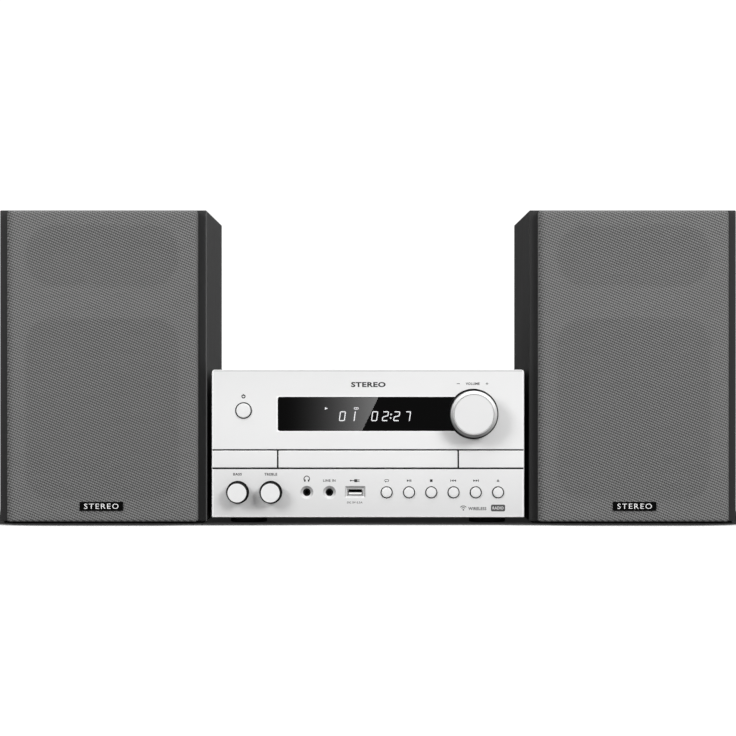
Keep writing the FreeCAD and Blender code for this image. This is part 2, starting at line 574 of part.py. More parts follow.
belt_outer = Part.Face(belt_loop(PINION, 12.65, MOTOR, 4.15, 42.75)).extrude(Vector(0, 0, 1.1))
belt_inner = Part.Face(belt_loop(PINION, 11.56, MOTOR, 3.06, 42.0)).extrude(Vector(0, 0, 3))
save("drive_belt", belt_outer.cut(belt_inner))

save("turntable", fuse(
    revolve_z([(0, 50.0), (4.0, 50.0), (4.0, 53.0), (15.0, 53.0), (15.0, 56.5), (7.4, 56.5),
               (7.2, 57.6), (6.3, 58.5), (0, 58.5)], *DISC),
    cyl_z(1.0, *DISC, 34.0, 50.5)))

LASER = (DISC[0], -19.0)   # x, y of the lens
sled = fuse(box(-21.2, 21.2, -27.0, 1.0, 44.2, 49.0), box(-15, 15, -26.0, 0.0, 38.5, 44.5),
            cyl_z(4.6, *LASER, 48.5, 51.6))
sled = sled.cut([cyl_y(PIN_BORE, x, ROD_Z, -30, 5) for x in ROD_X]
                + [cyl_z(3.0, *LASER, 50.6, 53)])
save("laser_sled", fuse(sled, cyl_z(2.3, *LASER, 50.4, 51.2)))

# ---------------------------------------------------------------- speakers
SPEAKER_BACK = FRONT + SPEAKER_D
GRILLE_FRONT = FRONT - GRILLE_T
WALL = 12
PORT_Z = 206.0
PEG_X, PEG_Z = (-74.0, 74.0), (12.0, 263.0)   # grille pegs, x from the speaker centre
BADGE_PIN_X, BADGE_PIN_Z = (-12, 12), 15.2

# driver profiles: radius, depth behind the cabinet front
BASKET = [(65, 0), (65, 2.8), (55.6, 2.8), (53.3, 20), (39, 36), (39, 62), (34, 66), (0, 66),
          (0, 41), (11.8, 41), (11.8, 58), (13.8, 58), (13.8, 38), (37, 38), (51.3, 21),
          (53.6, 1.8), (54, 0)]
CONE = [(47, 1.8), (18, 18.4), (15, 15), (9, 12.4), (0, 11.4), (0, 12.2), (8.7, 13.2),
        (14.3, 15.6), (16.6, 18.4), (12.4, 21), (12.4, 53), (13.1, 53), (13.1, 22.4), (47, 2.8)]
TWEETER = [(15.5, 0), (26, 0), (26, 2.5), (23, 2.5), (23, 22), (0, 22), (0, 5), (11.2, 5),
           (11.2, 9.5), (13.0, 9.5), (13.0, 2.5)]


def peg_places(centre):
    return [(centre + offset, z) for offset in PEG_X for z in PEG_Z]


def cabinet(centre):
    x0, x1 = centre - SPEAKER_W / 2, centre + SPEAKER_W / 2
    back = SPEAKER_BACK
    body = box(x0, x1, FRONT, back, 2.0, SPEAKER_H)
    edges = []   # upright edges and the top edges running front to back
    for edge in body.Edges:
        start, end = (vertex.Point for vertex in edge.Vertexes)
        if abs(start.x - end.x) < 1e-6 and (abs(start.y - end.y) < 1e-6
                                            or (start.z > 200 and end.z > 200)):
            edges.append(edge)
    body = body.makeFillet(1.1, edges)
    body = body.fuse(box(x0 + 3, x1 - 3, FRONT + 4, back - 4, 0.0, 2.5))   # plinth
    body = body.cut([
        box(x0 + WALL, x1 - WALL, FRONT + 16, back - WALL, 14, SPEAKER_H - WALL),
        cyl_y(65.2, centre, WOOFER_Z, FRONT - 1, FRONT + 2.85),
        cyl_y(56.2, centre, WOOFER_Z, FRONT - 1, FRONT + 20),
        cyl_y(26.3, centre, TWEETER_Z, FRONT - 1, FRONT + 2.55),
        cyl_y(25.0, centre, TWEETER_Z, FRONT - 1, FRONT + 20),
        box(centre - 36, centre + 36, back - 13, back + 1, 30, 78)])
    # port tube, flared at the back
    tube = fuse(cyl_y(23.5, centre, PORT_Z, back - 80, back - 6),
                cyl_y(27.0, centre, PORT_Z, back - 10, back - 0.5))
    body = body.fuse(tube).cut([cyl_y(21.0, centre, PORT_Z, back - 90, back + 2),
                                cone_y(21.0, 26.0, centre, PORT_Z, back - 6.0, back + 0.01)])
    body = body.cut([cyl_y(3.3, x, z, FRONT - 1, FRONT + 10.0) for x, z in peg_places(centre)])
    return [body.removeSplitter()]


def grille_slab(centre, inset, radius, y0, y1):
    return slab(centre - GRILLE_HALF_W + inset, centre + GRILLE_HALF_W - inset,
                GRILLE_Z0 + inset, GRILLE_Z1 - inset, radius, y0, y1)


def badge_x(centre):
    return centre + math.copysign(0.65, centre)


def grille_frame(centre):
    """Frame with two openings and four pegs, and the small badge plate."""
    frame = grille_slab(centre, 0.85, 1.6, GRILLE_FRONT + 0.85, FRONT - 0.5)
    frame = frame.cut([slab(centre - 66, centre + 66, z0, z1, radius, GRILLE_FRONT - 1, FRONT + 1)
                       for z0, z1, radius in ((203.9, 257.6, 22.0), (21.4, 177.1, 23.0))])
    for x, z in peg_places(centre):
        frame = frame.fuse(cyl_y(3.0, x, z, FRONT - 1.0, FRONT + 7.0))
        frame = frame.fuse(cone_y(3.0, 2.2, x, z, FRONT + 7.0, FRONT + 9.0))
    x = badge_x(centre)
    badge = slab(x - 18.6, x + 18.6, 11.5, 19.05, 0.5, GRILLE_FRONT - 1.0, GRILLE_FRONT - 0.05)
    for offset in BADGE_PIN_X:
        badge = badge.fuse(cyl_y(0.8, x + offset, BADGE_PIN_Z,
                                 GRILLE_FRONT - 0.5, GRILLE_FRONT + 0.8))
    return [frame.removeSplitter(), badge.removeSplitter()]


def grille_cloth(centre):
    cloth = grille_slab(centre, 0, 2.4, GRILLE_FRONT, FRONT - 0.9)
    return [cloth.cut(
        [grille_slab(centre, 0.8, 1.6, GRILLE_FRONT + 0.8, FRONT)]
        + [cyl_y(1.0, badge_x(centre) + offset, BADGE_PIN_Z, GRILLE_FRONT - 1, GRILLE_FRONT + 2)
           for offset in BADGE_PIN_X])]


def woofer_basket(centre):
    """Pressed frame and magnet, with four windows and four screw holes."""
    cuts = []
    for k in range(4):
        window = box(-13, 13, FRONT + 8, FRONT + 34, 30, 60)
        window.rotate(Vector(0, 0, 0), Vector(0, 1, 0), 45 + 90 * k)
        window.translate(Vector(centre, 0, WOOFER_Z))
        cuts.append(window)
    for degrees in (45, 135, 225, 315):
        angle = math.radians(degrees)
        cuts.append(cyl_y(2.2, centre + 60.5 * math.cos(angle), WOOFER_Z + 60.5 * math.sin(angle),
                          FRONT - 2, FRONT + 5))
    return [revolve_y(BASKET, centre, WOOFER_Z, FRONT).cut(cuts)]


def woofer_cone(centre):
    return [revolve_y(CONE, centre, WOOFER_Z, FRONT)]


def woofer_surround(centre):
    """Half-roll surround with a flat outer lip."""
    def roll(radius, angles):
        return [(51 + radius * math.cos(math.radians(angle)),
                 0.5 - radius * math.sin(math.radians(angle))) for angle in angles]

    points = [(58, -0.05), (58, -0.9), (54.9, -0.9)] + roll(3.8, range(24, 181, 13))
    points += [(47.2, 1.3), (48.0, 1.3)] + roll(3.0, range(180, 11, -14)) + [(53.95, -0.05)]
    return [revolve_y(points, centre, WOOFER_Z, FRONT)]


def tweeter_body(centre):
    return [revolve_y(TWEETER, centre, TWEETER_Z, FRONT)]


def tweeter_dome(centre):
    """Spherical cap with a short skirt."""
    rim_r, inner_r, rise, thickness, rim_depth, skirt_depth = 12.6, 12.0, 5.2, 0.5, 3.2, 7.4
    sphere_r = (rim_r ** 2 + rise ** 2) / (2 * rise)
    sphere_depth = rim_depth - rise + sphere_r

    def cap(radius, edge_r, steps):
        angles = [math.asin(edge_r / radius) * i / 7 for i in steps]
        return [(radius * math.sin(angle), sphere_depth - radius * math.cos(angle))
                for angle in angles]

    points = cap(sphere_r, rim_r, range(7, -1, -1)) + cap(sphere_r - thickness, inner_r, range(8))
    points += [(inner_r, skirt_depth), (rim_r, skirt_depth)]
    return [revolve_y(points, centre, TWEETER_Z, FRONT)]


def terminal_cup(centre):
    """Recessed cup with two binding posts."""
    back, z = SPEAKER_BACK, 54
    cup = fuse(round_block(centre, z, 40, 28, 3.0, back + 0.05, back + 2.0),
               block(centre, z, 35.5, 23.5, back - 22, back + 0.5))
    cup = cup.cut(round_block(centre, z, 33.5, 21.5, 2.0, back - 20, back + 3))
    posts = [fuse(cyl_y(6.5, centre + offset, z, back - 19.95, back - 17.5),
                  cyl_y(5.4, centre + offset, z, back - 18, back - 3.0)) for offset in (-14, 14)]
    return [cup] + posts


# each function is named after its piece
for side_name, centre in (("left", -SPEAKER_X), ("right", SPEAKER_X)):
    for piece in (cabinet, grille_frame, grille_cloth, woofer_basket, woofer_cone,
                  woofer_surround, tweeter_body, tweeter_dome, terminal_cup):
        save(side_name + "_" + piece.__name__, *piece(centre))
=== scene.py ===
# A compact disc stereo with two cloth-fronted speakers, on a white studio floor at Z = 0.
# The main unit stands at X = 0 with a speaker on each side; the fronts face -Y.
# Lengths are in millimetres and are turned to metres by MM, unless a note says otherwise.
import math
from collections import namedtuple
from functools import cached_property

import bpy
import bmesh
import numpy as np
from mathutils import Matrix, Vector


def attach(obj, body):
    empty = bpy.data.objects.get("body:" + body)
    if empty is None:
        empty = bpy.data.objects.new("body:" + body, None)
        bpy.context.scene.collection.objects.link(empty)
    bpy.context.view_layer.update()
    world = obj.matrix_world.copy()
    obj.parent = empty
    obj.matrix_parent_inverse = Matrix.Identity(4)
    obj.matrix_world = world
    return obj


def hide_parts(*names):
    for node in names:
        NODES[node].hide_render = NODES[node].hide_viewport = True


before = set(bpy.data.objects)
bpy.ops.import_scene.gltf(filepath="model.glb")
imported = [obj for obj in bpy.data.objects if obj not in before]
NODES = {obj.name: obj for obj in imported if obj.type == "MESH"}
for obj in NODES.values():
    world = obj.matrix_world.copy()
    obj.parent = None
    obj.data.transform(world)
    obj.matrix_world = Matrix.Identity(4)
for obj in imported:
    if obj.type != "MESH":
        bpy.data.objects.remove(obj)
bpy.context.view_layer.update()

scene = bpy.context.scene
MM = 0.001

FRONT_Y = -120.0                   # front plane of the unit and the cabinets
PANEL_TOP = 132.55
PANEL_HALF = 134.3
WINDOW_CENTRE = (3.45, 94.35)      # display window, X and Z
WINDOW_HALF = (81.35, 14.75)
VOLUME_CENTRE = (90.8, 94.3)
BASS_CENTRE = (-112.5, 26.7)
TREBLE_CENTRE = (-83.9, 26.7)
USB_X = -11.05

SPEAKER_X = 228.3
WOOFER_Z, TWEETER_Z, PORT_Z = 99.2, 230.7, 206.0
POST_OFFSET = 14                   # speaker terminal from the cabinet's middle
BADGE_BACK_Y = -130.02
MAIN = "main_unit"

CAMERA_HEIGHT = 0.134              # metres
CAMERA_DISTANCE = 2.2              # metres, from the front plane


# ------------------------------------------------------------------ shader nodes
MIDDLE = (0.3, 0.7)                # the span in which most noise values lie


class Shader:
    """Node tree of a material or a world. Distances passed in are millimetres."""

    def __init__(self, owner, output="OutputMaterial"):
        owner.use_nodes = True
        self.owner = owner
        self.tree = owner.node_tree
        self.tree.nodes.clear()
        self.output = self.node(output)

    def feed(self, socket, value):
        """links a socket, or sets a value; a colour may be one number or three"""
        if isinstance(value, bpy.types.NodeSocket):
            self.tree.links.new(value, socket)
        elif value is not None:
            if socket.type == "RGBA":
                if isinstance(value, (int, float)):
                    value = (value,) * 3
                if len(value) == 3:
                    value = (*value, 1.0)
            socket.default_value = value

    def node(self, kind, inputs=None, **props):
        node = self.tree.nodes.new("ShaderNode" + kind)
        for key, value in props.items():
            setattr(node, key, value)
        for key, value in (inputs or {}).items():
            self.feed(node.inputs[key], value)
        return node

    def out(self, kind, inputs=None, **props):
        """first output of a new node"""
        return self.node(kind, inputs, **props).outputs[0]

    @cached_property
    def position(self):
        return self.node("TexCoord").outputs["Object"]

    def split(self, vector=None):
        source = self.position if vector is None else vector
        return tuple(self.node("SeparateXYZ", {0: source}).outputs)[:3]

    def facing(self):
        """X, Y and Z of the true normal"""
        return self.split(self.node("NewGeometry").outputs["True Normal"])

    def math(self, kind, *values):
        return self.out("Math", dict(enumerate(values)), operation=kind)

    def total(self, *terms, plus=0.0):
        """sum of coefficient * socket, and a constant"""
        result = plus
        for coefficient, socket in terms:
            result = self.math("MULTIPLY_ADD", socket, coefficient, result)
        return result

    def product(self, first, *others):
        for other in others:
            first = self.math("MULTIPLY", first, other)
        return first

    def above(self, value, limit):
        return self.math("GREATER_THAN", value, limit)

    def below(self, value, limit):
        return self.math("LESS_THAN", value, limit)

    def between(self, value, low, high):
        return self.product(self.above(value, low * MM), self.below(value, high * MM))

    def invert(self, mask):
        return self.math("SUBTRACT", 1.0, mask)

    def size(self, value):
        return self.math("ABSOLUTE", value)

    def away(self, value, centre):
        """distance from a coordinate, either way"""
        return self.size(self.math("SUBTRACT", value, centre * MM))

    def radius(self, first, second, centre):
        a = self.math("SUBTRACT", first, centre[0] * MM)
        b = self.math("SUBTRACT", second, centre[1] * MM)
        return self.math("SQRT", self.math("ADD", self.product(a, a), self.product(b, b)))

    def noise(self, scale, detail=2.0, rough=0.5, vector=None, distortion=0.0):
        return self.out("TexNoise", {
            "Vector": self.position if vector is None else vector, "Scale": scale,
            "Detail": detail, "Roughness": rough, "Distortion": distortion})

    def stretched(self, *scales):
        return self.out("Mapping", {"Vector": self.position, "Scale": scales})

    def ramp(self, value, span=MIDDLE, to=(0.0, 1.0), smooth=False):
        return self.out(
            "MapRange", {"Value": value, "From Min": span[0], "From Max": span[1],
                         "To Min": to[0], "To Max": to[1]},
            clamp=True, interpolation_type="SMOOTHSTEP" if smooth else "LINEAR")

    def shade_by_facing(self, right, up, weights, span, to):
        """painted light: a tone set by how far a surface faces right (+X) and up"""
        return self.ramp(self.total((weights[0], right), (weights[1], up)), span, to)

    def mix(self, mask, under, over):
        inputs = {0: mask, 6: under, 7: over}
        return self.node("Mix", inputs, data_type="RGBA").outputs[2]

    def dim(self, colour, factor):
        return self.out("VectorMath", {0: colour, 3: factor}, operation="SCALE")

    def bevel(self, radius):
        return self.out("Bevel", {"Radius": radius * MM}, samples=4)

    def bump(self, height, distance, strength=1.0, normal=None):
        return self.out("Bump", {"Height": height, "Distance": distance * MM,
                                 "Strength": strength, "Normal": normal})

    def principled(self, colour, rough, metal=0.0, normal=None, specular=0.5, **extra):
        return self.out("BsdfPrincipled", {
            "Base Color": colour, "Roughness": rough, "Metallic": metal,
            "Specular IOR Level": specular, "Normal": normal, **extra})

    def emission(self, strength):
        return self.out("Emission", {"Color": 1.0, "Strength": strength})

    def mix_shader(self, mask, first, second):
        return self.out("MixShader", {0: mask, 1: first, 2: second})

    def camera_ray(self):
        return self.node("LightPath").outputs["Is Camera Ray"]

    def done(self, shader):
        self.tree.links.new(shader, self.output.inputs[0])
        return self.owner

    def surface(self, *args, **kwargs):
        """ends the tree in a principled shader"""
        return self.done(self.principled(*args, **kwargs))


def new_material(name):
    return Shader(bpy.data.materials.new(name))


def tint(colour, factor):
    return tuple(channel * factor for channel in colour)


# ------------------------------------------------------------------ materials
def silver(name, base=0.87, metal=0.25, rough=0.38, edge=0.1, grain=0.02, centre=None, rim=None):
    """satin metal; a centre (x, z) adds turning rings, and rim gives the part outside them its own
    finish and painted shading; the flanks get painted shade
    """
    mat = new_material(name)
    normal = mat.bevel(edge)
    height = fine = mat.noise(2600.0, rough=0.7)
    cloud = mat.noise(14.0)
    if centre:
        x, _, z = mat.split()
        radius = mat.radius(x, z, centre)
        rings = mat.noise(2400.0, detail=3.0, rough=0.7, vector=mat.out("CombineXYZ", {0: radius}))
        height = mat.total((0.75, rings), (0.25, fine))
    colour = mat.mix(mat.ramp(cloud), base * 0.99, base * 1.01)
    colour = mat.mix(mat.ramp(height, (0.25, 0.75), to=(0.0, 0.08)), colour, base * 0.88)
    roughness = mat.ramp(height, (0.2, 0.8), to=(rough - 0.05, rough + 0.07))
    specular = 0.5
    # the rim gets its own finish and painted shading: a painted reflection, lighter towards the
    # upper right, when a facing ramp is given, and painted shade on its flank
    if rim:
        right, back, up = mat.facing()
        on_rim = mat.product(mat.above(radius, rim["radius"] * MM), mat.above(back, -0.97))
        painted_shading = 1.0
        if "shade_by_facing" in rim:
            painted_shading = mat.shade_by_facing(right, up, (0.35, 0.8), *rim["shade_by_facing"])
        flank = mat.above(back, -0.2)
        shade = mat.product(rim["shade"], painted_shading, mat.total((-0.65, flank), plus=1.0))
        colour = mat.mix(on_rim, colour, mat.out("CombineXYZ", {0: shade, 1: shade, 2: shade}))
        roughness = mat.math("ADD", roughness, mat.product(on_rim, rim["rough"] - rough))
        metal = mat.total((rim["metal"] - metal, on_rim), plus=metal)
        specular = mat.product(mat.invert(mat.product(on_rim, rim["dulling"])), 0.5)
    # painted shade: flanks are darker towards the lower left
    right, back, up = mat.facing()
    flank = mat.product(mat.above(back, -0.55), mat.below(back, 0.5))
    dark = mat.product(flank, mat.shade_by_facing(right, up, (0.6, 0.6), (-0.5, 0.6), (0.85, 0.45)))
    colour = mat.mix(dark, colour, 0.03)
    return mat.surface(colour, roughness, metal, mat.bump(height, grain, 0.6, normal), specular)


def panel_metal():
    """satin sheet with painted highlights on bevels and edges; groove floors and hole walls get
    painted shade
    """
    base, metal, rough = 0.84, 0.2, 0.45
    # centre x, z and half sizes of two sockets and the plug recess, whose seats stay silver with a
    # painted shade by facing
    silver_seats = ((-52.8, 26.7, 5.9, 5.9), (-33.3, 26.7, 5.9, 5.9), (USB_X, 27.0, 9.1, 5.5))
    mat = new_material("satin_panel")
    x, y, z = mat.split()
    right, back, up = mat.facing()
    fine = mat.noise(2300.0, rough=0.7)
    cloud = mat.noise(9.0)
    colour = mat.mix(mat.ramp(cloud), base * 0.99, base * 1.01)
    colour = mat.mix(mat.ramp(fine, (0.25, 0.75), to=(0.0, 0.06)), colour, base * 0.88)
    # painted highlight on the front bevels
    bevel_highlight = mat.product(mat.below(y, (FRONT_Y + 0.6) * MM),
                         mat.above(back, -0.95), mat.below(back, -0.3))
    colour = mat.mix(bevel_highlight, colour, 0.98)
    # painted light: slow fall-off down, up and across the panel, with spans in metres
    painted_falloff = mat.product(mat.ramp(z, (0.010, 0.058), to=(0.875, 1.0)),
                          mat.ramp(z, (0.100, 0.128), to=(1.0, 0.965)),
                          mat.ramp(x, (-0.134, 0.134), to=(0.965, 1.02)))
    colour = mat.dim(colour, painted_falloff)
    # painted shade along the top edge
    colour = mat.mix(mat.above(z, (PANEL_TOP - 1.75) * MM), colour, base * 0.77)
    # painted highlight on the lip round the window, along the outer edges and at the foot
    window_x, window_z = (
        mat.math("SUBTRACT", mat.away(value, centre), half * MM)
        for value, centre, half in zip((x, z), WINDOW_CENTRE, WINDOW_HALF))
    lip = mat.product(mat.below(mat.math("MAXIMUM", window_x, window_z), 0.95 * MM),
                      mat.below(back, -0.95))
    rim = mat.product(mat.above(mat.size(x), (PANEL_HALF - 1.0) * MM), mat.below(back, -0.3))
    foot = mat.product(mat.below(z, 6.4 * MM), mat.below(back, -0.95))
    painted_highlight = mat.math("MAXIMUM", lip, mat.math("MAXIMUM", rim, foot))
    colour = mat.mix(painted_highlight, colour, 0.97)
    painted_shading = mat.shade_by_facing(right, up, (0.55, 0.8), (-0.5, 0.4), (0.46, 0.76))
    bevelled = mat.product(mat.above(y, (FRONT_Y + 0.05) * MM),
                           mat.above(back, -0.95), mat.below(back, -0.3))
    shaded_wall = mat.product(
        mat.above(y, (FRONT_Y + 0.5) * MM), mat.below(mat.size(x), PANEL_HALF * MM),
        mat.product(mat.above(z, 5.7 * MM), mat.below(z, (PANEL_TOP - 0.4) * MM)))
    shallow = mat.below(y, (FRONT_Y + 2.02) * MM)
    seats = 0.0
    for seat_x, seat_z, half_x, half_z in silver_seats:
        here = mat.product(mat.below(mat.away(x, seat_x), half_x * MM),
                           mat.below(mat.away(z, seat_z), half_z * MM), shallow)
        shaded_wall = mat.product(shaded_wall, mat.invert(here))
        seats = mat.math("MAXIMUM", seats, mat.product(here, bevelled))
    # painted shade by facing on the seats
    colour = mat.mix(seats, colour, mat.dim((0.9, 0.9, 0.9), painted_shading))
    # painted shade inside the grooves and holes
    colour = mat.mix(shaded_wall, colour, (0.004, 0.004, 0.0042))
    roughness = mat.math("ADD", mat.ramp(fine, (0.2, 0.8), to=(rough - 0.05, rough + 0.07)),
                         mat.product(shaded_wall, 0.3))
    return mat.surface(colour, roughness, metal=mat.product(mat.invert(shaded_wall), metal),
                       normal=mat.bump(fine, 0.012, 0.6, mat.bevel(0.15)),
                       specular=mat.total((-0.42, shaded_wall), plus=0.5))


def plastic(name, base=(0.02, 0.02, 0.021), rough=0.5, scale=1400.0, depth=0.02, specular=0.4,
            **extra):
    mat = new_material(name)
    grain = mat.noise(scale, detail=3.0, rough=0.6)
    cloud = mat.noise(30.0)
    colour = mat.mix(mat.ramp(grain), tint(base, 0.85), tint(base, 1.15))
    colour = mat.mix(mat.ramp(cloud, (0.35, 0.65), to=(0.0, 0.25)), colour, tint(base, 1.2))
    return mat.surface(colour, mat.ramp(cloud, to=(rough - 0.05, rough + 0.06)),
                       normal=mat.bump(grain, depth, 0.7, mat.bevel(0.25)),
                       specular=specular, **extra)


def vinyl():
    """black wrapped board: pebble with faint vertical streaks; the port tube is smooth; painted
    highlights and shade on edges, sides and the low fronts
    """
    # colours of the painted shade
    side_shade, deep_shade = (0.009, 0.009, 0.0092), 0.004
    mat = new_material("black_vinyl")
    x, y, z = mat.split()
    right, back, up = mat.facing()
    pebble = mat.out("TexVoronoi", {"Vector": mat.position, "Scale": 900.0})
    streak = mat.noise(1.0, detail=4.0, rough=0.6, vector=mat.stretched(700.0, 700.0, 18.0))
    height = mat.total((0.6, pebble), (0.5, streak))
    colour = mat.mix(mat.ramp(streak, (0.35, 0.65)),
                     (0.0185, 0.0185, 0.0188), (0.0245, 0.0245, 0.0248))
    cloud = mat.ramp(mat.noise(9.0, rough=0.55), to=(0.0, 0.3))
    colour = mat.mix(cloud, colour, (0.027, 0.027, 0.0272))
    sideways, lengthways = mat.size(right), mat.size(back)
    edge = mat.product(mat.above(sideways, 0.15), mat.above(lengthways, 0.15))
    lit_edge = mat.product(mat.above(right, 0.15), mat.below(back, -0.15),
                           mat.below(x, -100 * MM))
    top_edge = mat.product(mat.above(up, 0.15), mat.below(back, -0.15))
    # painted shade on narrow side strips at the rear and the top
    strips = mat.math("MAXIMUM",
                      mat.product(mat.above(y, 103.9 * MM), mat.above(sideways, 0.9)),
                      mat.product(mat.above(z, 268.3 * MM), mat.above(sideways, 0.9)))
    # painted shade on the right speaker's sides and high up on the left speaker's side
    side = mat.above(sideways, 0.9)
    right_speaker = mat.total((0.75, mat.above(x, 0.0)))
    colour = mat.mix(mat.product(side, right_speaker), colour, side_shade)
    upper_side = mat.product(side, mat.below(x, 0.0),
                             mat.ramp(z, (0.13, 0.25), to=(0.0, 0.55)))
    colour = mat.mix(upper_side, colour, side_shade)
    colour = mat.mix(mat.product(edge, 0.8), colour, 0.022)
    # painted highlight on the left speaker's inner front edge, and painted shade along the top
    # front edges
    colour = mat.mix(lit_edge, colour, 0.10)
    colour = mat.mix(top_edge, colour, deep_shade)
    colour = mat.mix(mat.product(strips, 0.75), colour, deep_shade)
    # painted shadow: the fronts are darker low down, most of all where the left one nears the main
    # unit
    front = mat.above(mat.product(back, -1.0), 0.9) if False else mat.below(back, -0.9)
    low = mat.ramp(z, (0.124, 0.146), to=(1.0, 0.0), smooth=True)
    near_unit = mat.product(mat.ramp(mat.size(x), (0.139, 0.147), to=(1.0, 0.0)),
                            mat.below(x, 0.0))
    shadow = mat.product(front, low, mat.total((0.45, near_unit), plus=0.36),
                         mat.below(mat.size(x), 0.2))
    colour = mat.mix(shadow, colour, deep_shade)
    from_middle = mat.math("SUBTRACT", mat.size(x), SPEAKER_X * MM)
    port_radius = mat.radius(from_middle, z, (0.0, PORT_Z))
    port = mat.product(mat.below(port_radius, 26.4 * MM), mat.above(y, 14.0 * MM))
    colour = mat.mix(port, colour, (0.012, 0.012, 0.0122))
    roughness = mat.math("SUBTRACT", mat.ramp(streak, (0.2, 0.8), to=(0.52, 0.68)),
                         mat.total((0.18, edge), (0.22, port)))
    normal = mat.bump(height, 0.03, strength=mat.total((-0.45, port), plus=0.5),
                      normal=mat.bevel(0.9))
    specular = mat.total((-0.25, mat.product(side, mat.above(x, 0.0))), (-0.1, upper_side),
                         (-0.12, edge), plus=0.32)
    return mat.surface(colour, roughness, normal=normal, specular=specular)


def rubber(name, base=0.018, rough=0.75):
    mat = new_material(name)
    grain = mat.noise(1800.0, detail=3.0, rough=0.6)
    dust = mat.noise(60.0, detail=4.0, rough=0.65)
    colour = mat.mix(mat.ramp(dust, (0.45, 0.8), to=(0.0, 0.35)), base, base * 2.0)
    return mat.surface(colour, mat.ramp(dust, to=(rough - 0.08, rough + 0.08)),
                       normal=mat.bump(grain, 0.03, 0.7, mat.bevel(0.3)), specular=0.3)


def metal(name, base=(0.55, 0.56, 0.57), rough=0.35, brush=(8.0, 900.0, 900.0), edge=0.2,
          depth=0.008):
    """bare metal; brush stretches the grain along X, Y and Z"""
    mat = new_material(name)
    grain = mat.noise(1.0, detail=4.0, rough=0.65, vector=mat.stretched(*brush))
    spots = mat.noise(45.0, detail=3.0, rough=0.6)
    colour = mat.mix(mat.ramp(grain), tint(base, 0.88), base)
    colour = mat.mix(mat.ramp(spots, (0.5, 0.8), to=(0.0, 0.3)), colour, tint(base, 0.75))
    roughness = mat.ramp(mat.total((0.6, grain), (0.4, spots)), to=(rough - 0.08, rough + 0.1))
    return mat.surface(colour, roughness, metal=1.0,
                       normal=mat.bump(grain, depth, 0.8, mat.bevel(edge)))


def usb_socket():
    """nickel shell, painted shade in the cavity, pale moulded tongue"""
    mat = new_material("plug_socket")
    x, y, z = mat.split()
    offset = mat.away(x, USB_X)
    tongue = mat.product(mat.below(offset, 5.75 * MM), mat.between(z, 24.75, 26.5))
    shaded_cavity = mat.product(mat.below(offset, 5.55 * MM), mat.between(z, 24.2, 29.3),
                         mat.above(y, (FRONT_Y + 1.5) * MM))
    grain = mat.noise(1800.0, rough=0.6)
    colour = mat.mix(mat.ramp(grain), (0.78, 0.78, 0.77), (0.84, 0.84, 0.83))
    # painted shade in the cavity
    colour = mat.mix(shaded_cavity, colour, 0.002)
    colour = mat.mix(tongue, colour, (0.86, 0.86, 0.85))
    hollow = mat.product(shaded_cavity, mat.invert(tongue))
    return mat.surface(colour, mat.total((0.12, grain), (0.25, shaded_cavity), plus=0.26),
                       metal=mat.product(mat.invert(shaded_cavity), 0.55),
                       normal=mat.bump(grain, 0.006, 0.5, mat.bevel(0.12)),
                       specular=mat.total((-0.4, hollow), plus=0.5))


def binding_posts(name, centres, height, radius, base_y, tip_y):
    """black moulding with knurled posts, red and black in turn, whose ends are nickel"""
    mat = new_material(name)
    x, y, z = mat.split()
    grain = mat.noise(1400.0, detail=3.0, rough=0.6)
    colour = mat.mix(mat.ramp(grain), 0.017, 0.025)
    knurl = 0.0
    for i, post_x in enumerate(centres):
        post_radius = mat.radius(x, z, (post_x, height))
        here = mat.product(mat.below(post_radius, radius * MM), mat.above(y, base_y * MM))
        colour = mat.mix(here, colour, (0.010, 0.010, 0.011) if i % 2 else (0.42, 0.012, 0.012))
        tip = mat.product(here, mat.below(post_radius, radius * 0.62 * MM),
                          mat.above(y, tip_y * MM))
        colour = mat.mix(tip, colour, (0.75, 0.74, 0.72))
        angle = mat.math("ARCTAN2", mat.math("SUBTRACT", z, height * MM),
                         mat.math("SUBTRACT", x, post_x * MM))
        ridges = mat.math("COSINE", mat.product(angle, 22.0))
        knurl = mat.math("ADD", knurl, mat.product(here, ridges))
    bumps = mat.total((0.5, grain), (1.0, knurl))
    return mat.surface(colour, mat.ramp(grain, to=(0.32, 0.45)),
                       normal=mat.bump(bumps, 0.10, 0.6, mat.bevel(0.25)), specular=0.45)


def traces(mat, scale, colours, line, line_width):
    """brick node that stands in for the tracks of a circuit board"""
    return mat.node("TexBrick", {
        "Vector": mat.stretched(scale, scale, scale), "Color1": colours[0],
        "Color2": colours[1], "Mortar": line, "Scale": 1.0, "Mortar Size": line_width})


def component_board(name, board_z, cap_z):
    """green board below board_z, dark and blue parts above it, metal tips above cap_z"""
    mat = new_material(name)
    _, _, z = mat.split()
    grain = mat.noise(900.0, rough=0.6)
    tracks = traces(mat, 260.0, ((0.012, 0.10, 0.035), (0.018, 0.13, 0.045)),
                    line=(0.05, 0.20, 0.08), line_width=0.05)
    patches = mat.above(mat.noise(38.0, detail=0.0, rough=0.55), 0.5)
    parts = mat.mix(patches, (0.012, 0.012, 0.014), (0.02, 0.03, 0.10))
    colour = mat.mix(mat.above(z, board_z * MM), tracks.outputs[0], parts)
    tip = mat.above(z, cap_z * MM)
    colour = mat.mix(tip, colour, (0.62, 0.62, 0.63))
    height = mat.total((0.4, grain), (0.6, tracks.outputs[1]))
    return mat.surface(colour, mat.ramp(grain, to=(0.32, 0.5)), metal=mat.product(tip, 0.8),
                       normal=mat.bump(height, 0.04, 0.5, mat.bevel(0.3)), specular=0.45)


def plain_board():
    base = (0.02, 0.09, 0.04)
    mat = new_material("green_board")
    tracks = traces(mat, 300.0, (base, tint(base, 1.3)), line=(0.05, 0.16, 0.07),
                    line_width=0.06)
    return mat.surface(tracks.outputs[0], 0.35, normal=mat.bump(tracks.outputs[1], 0.03, 0.5))


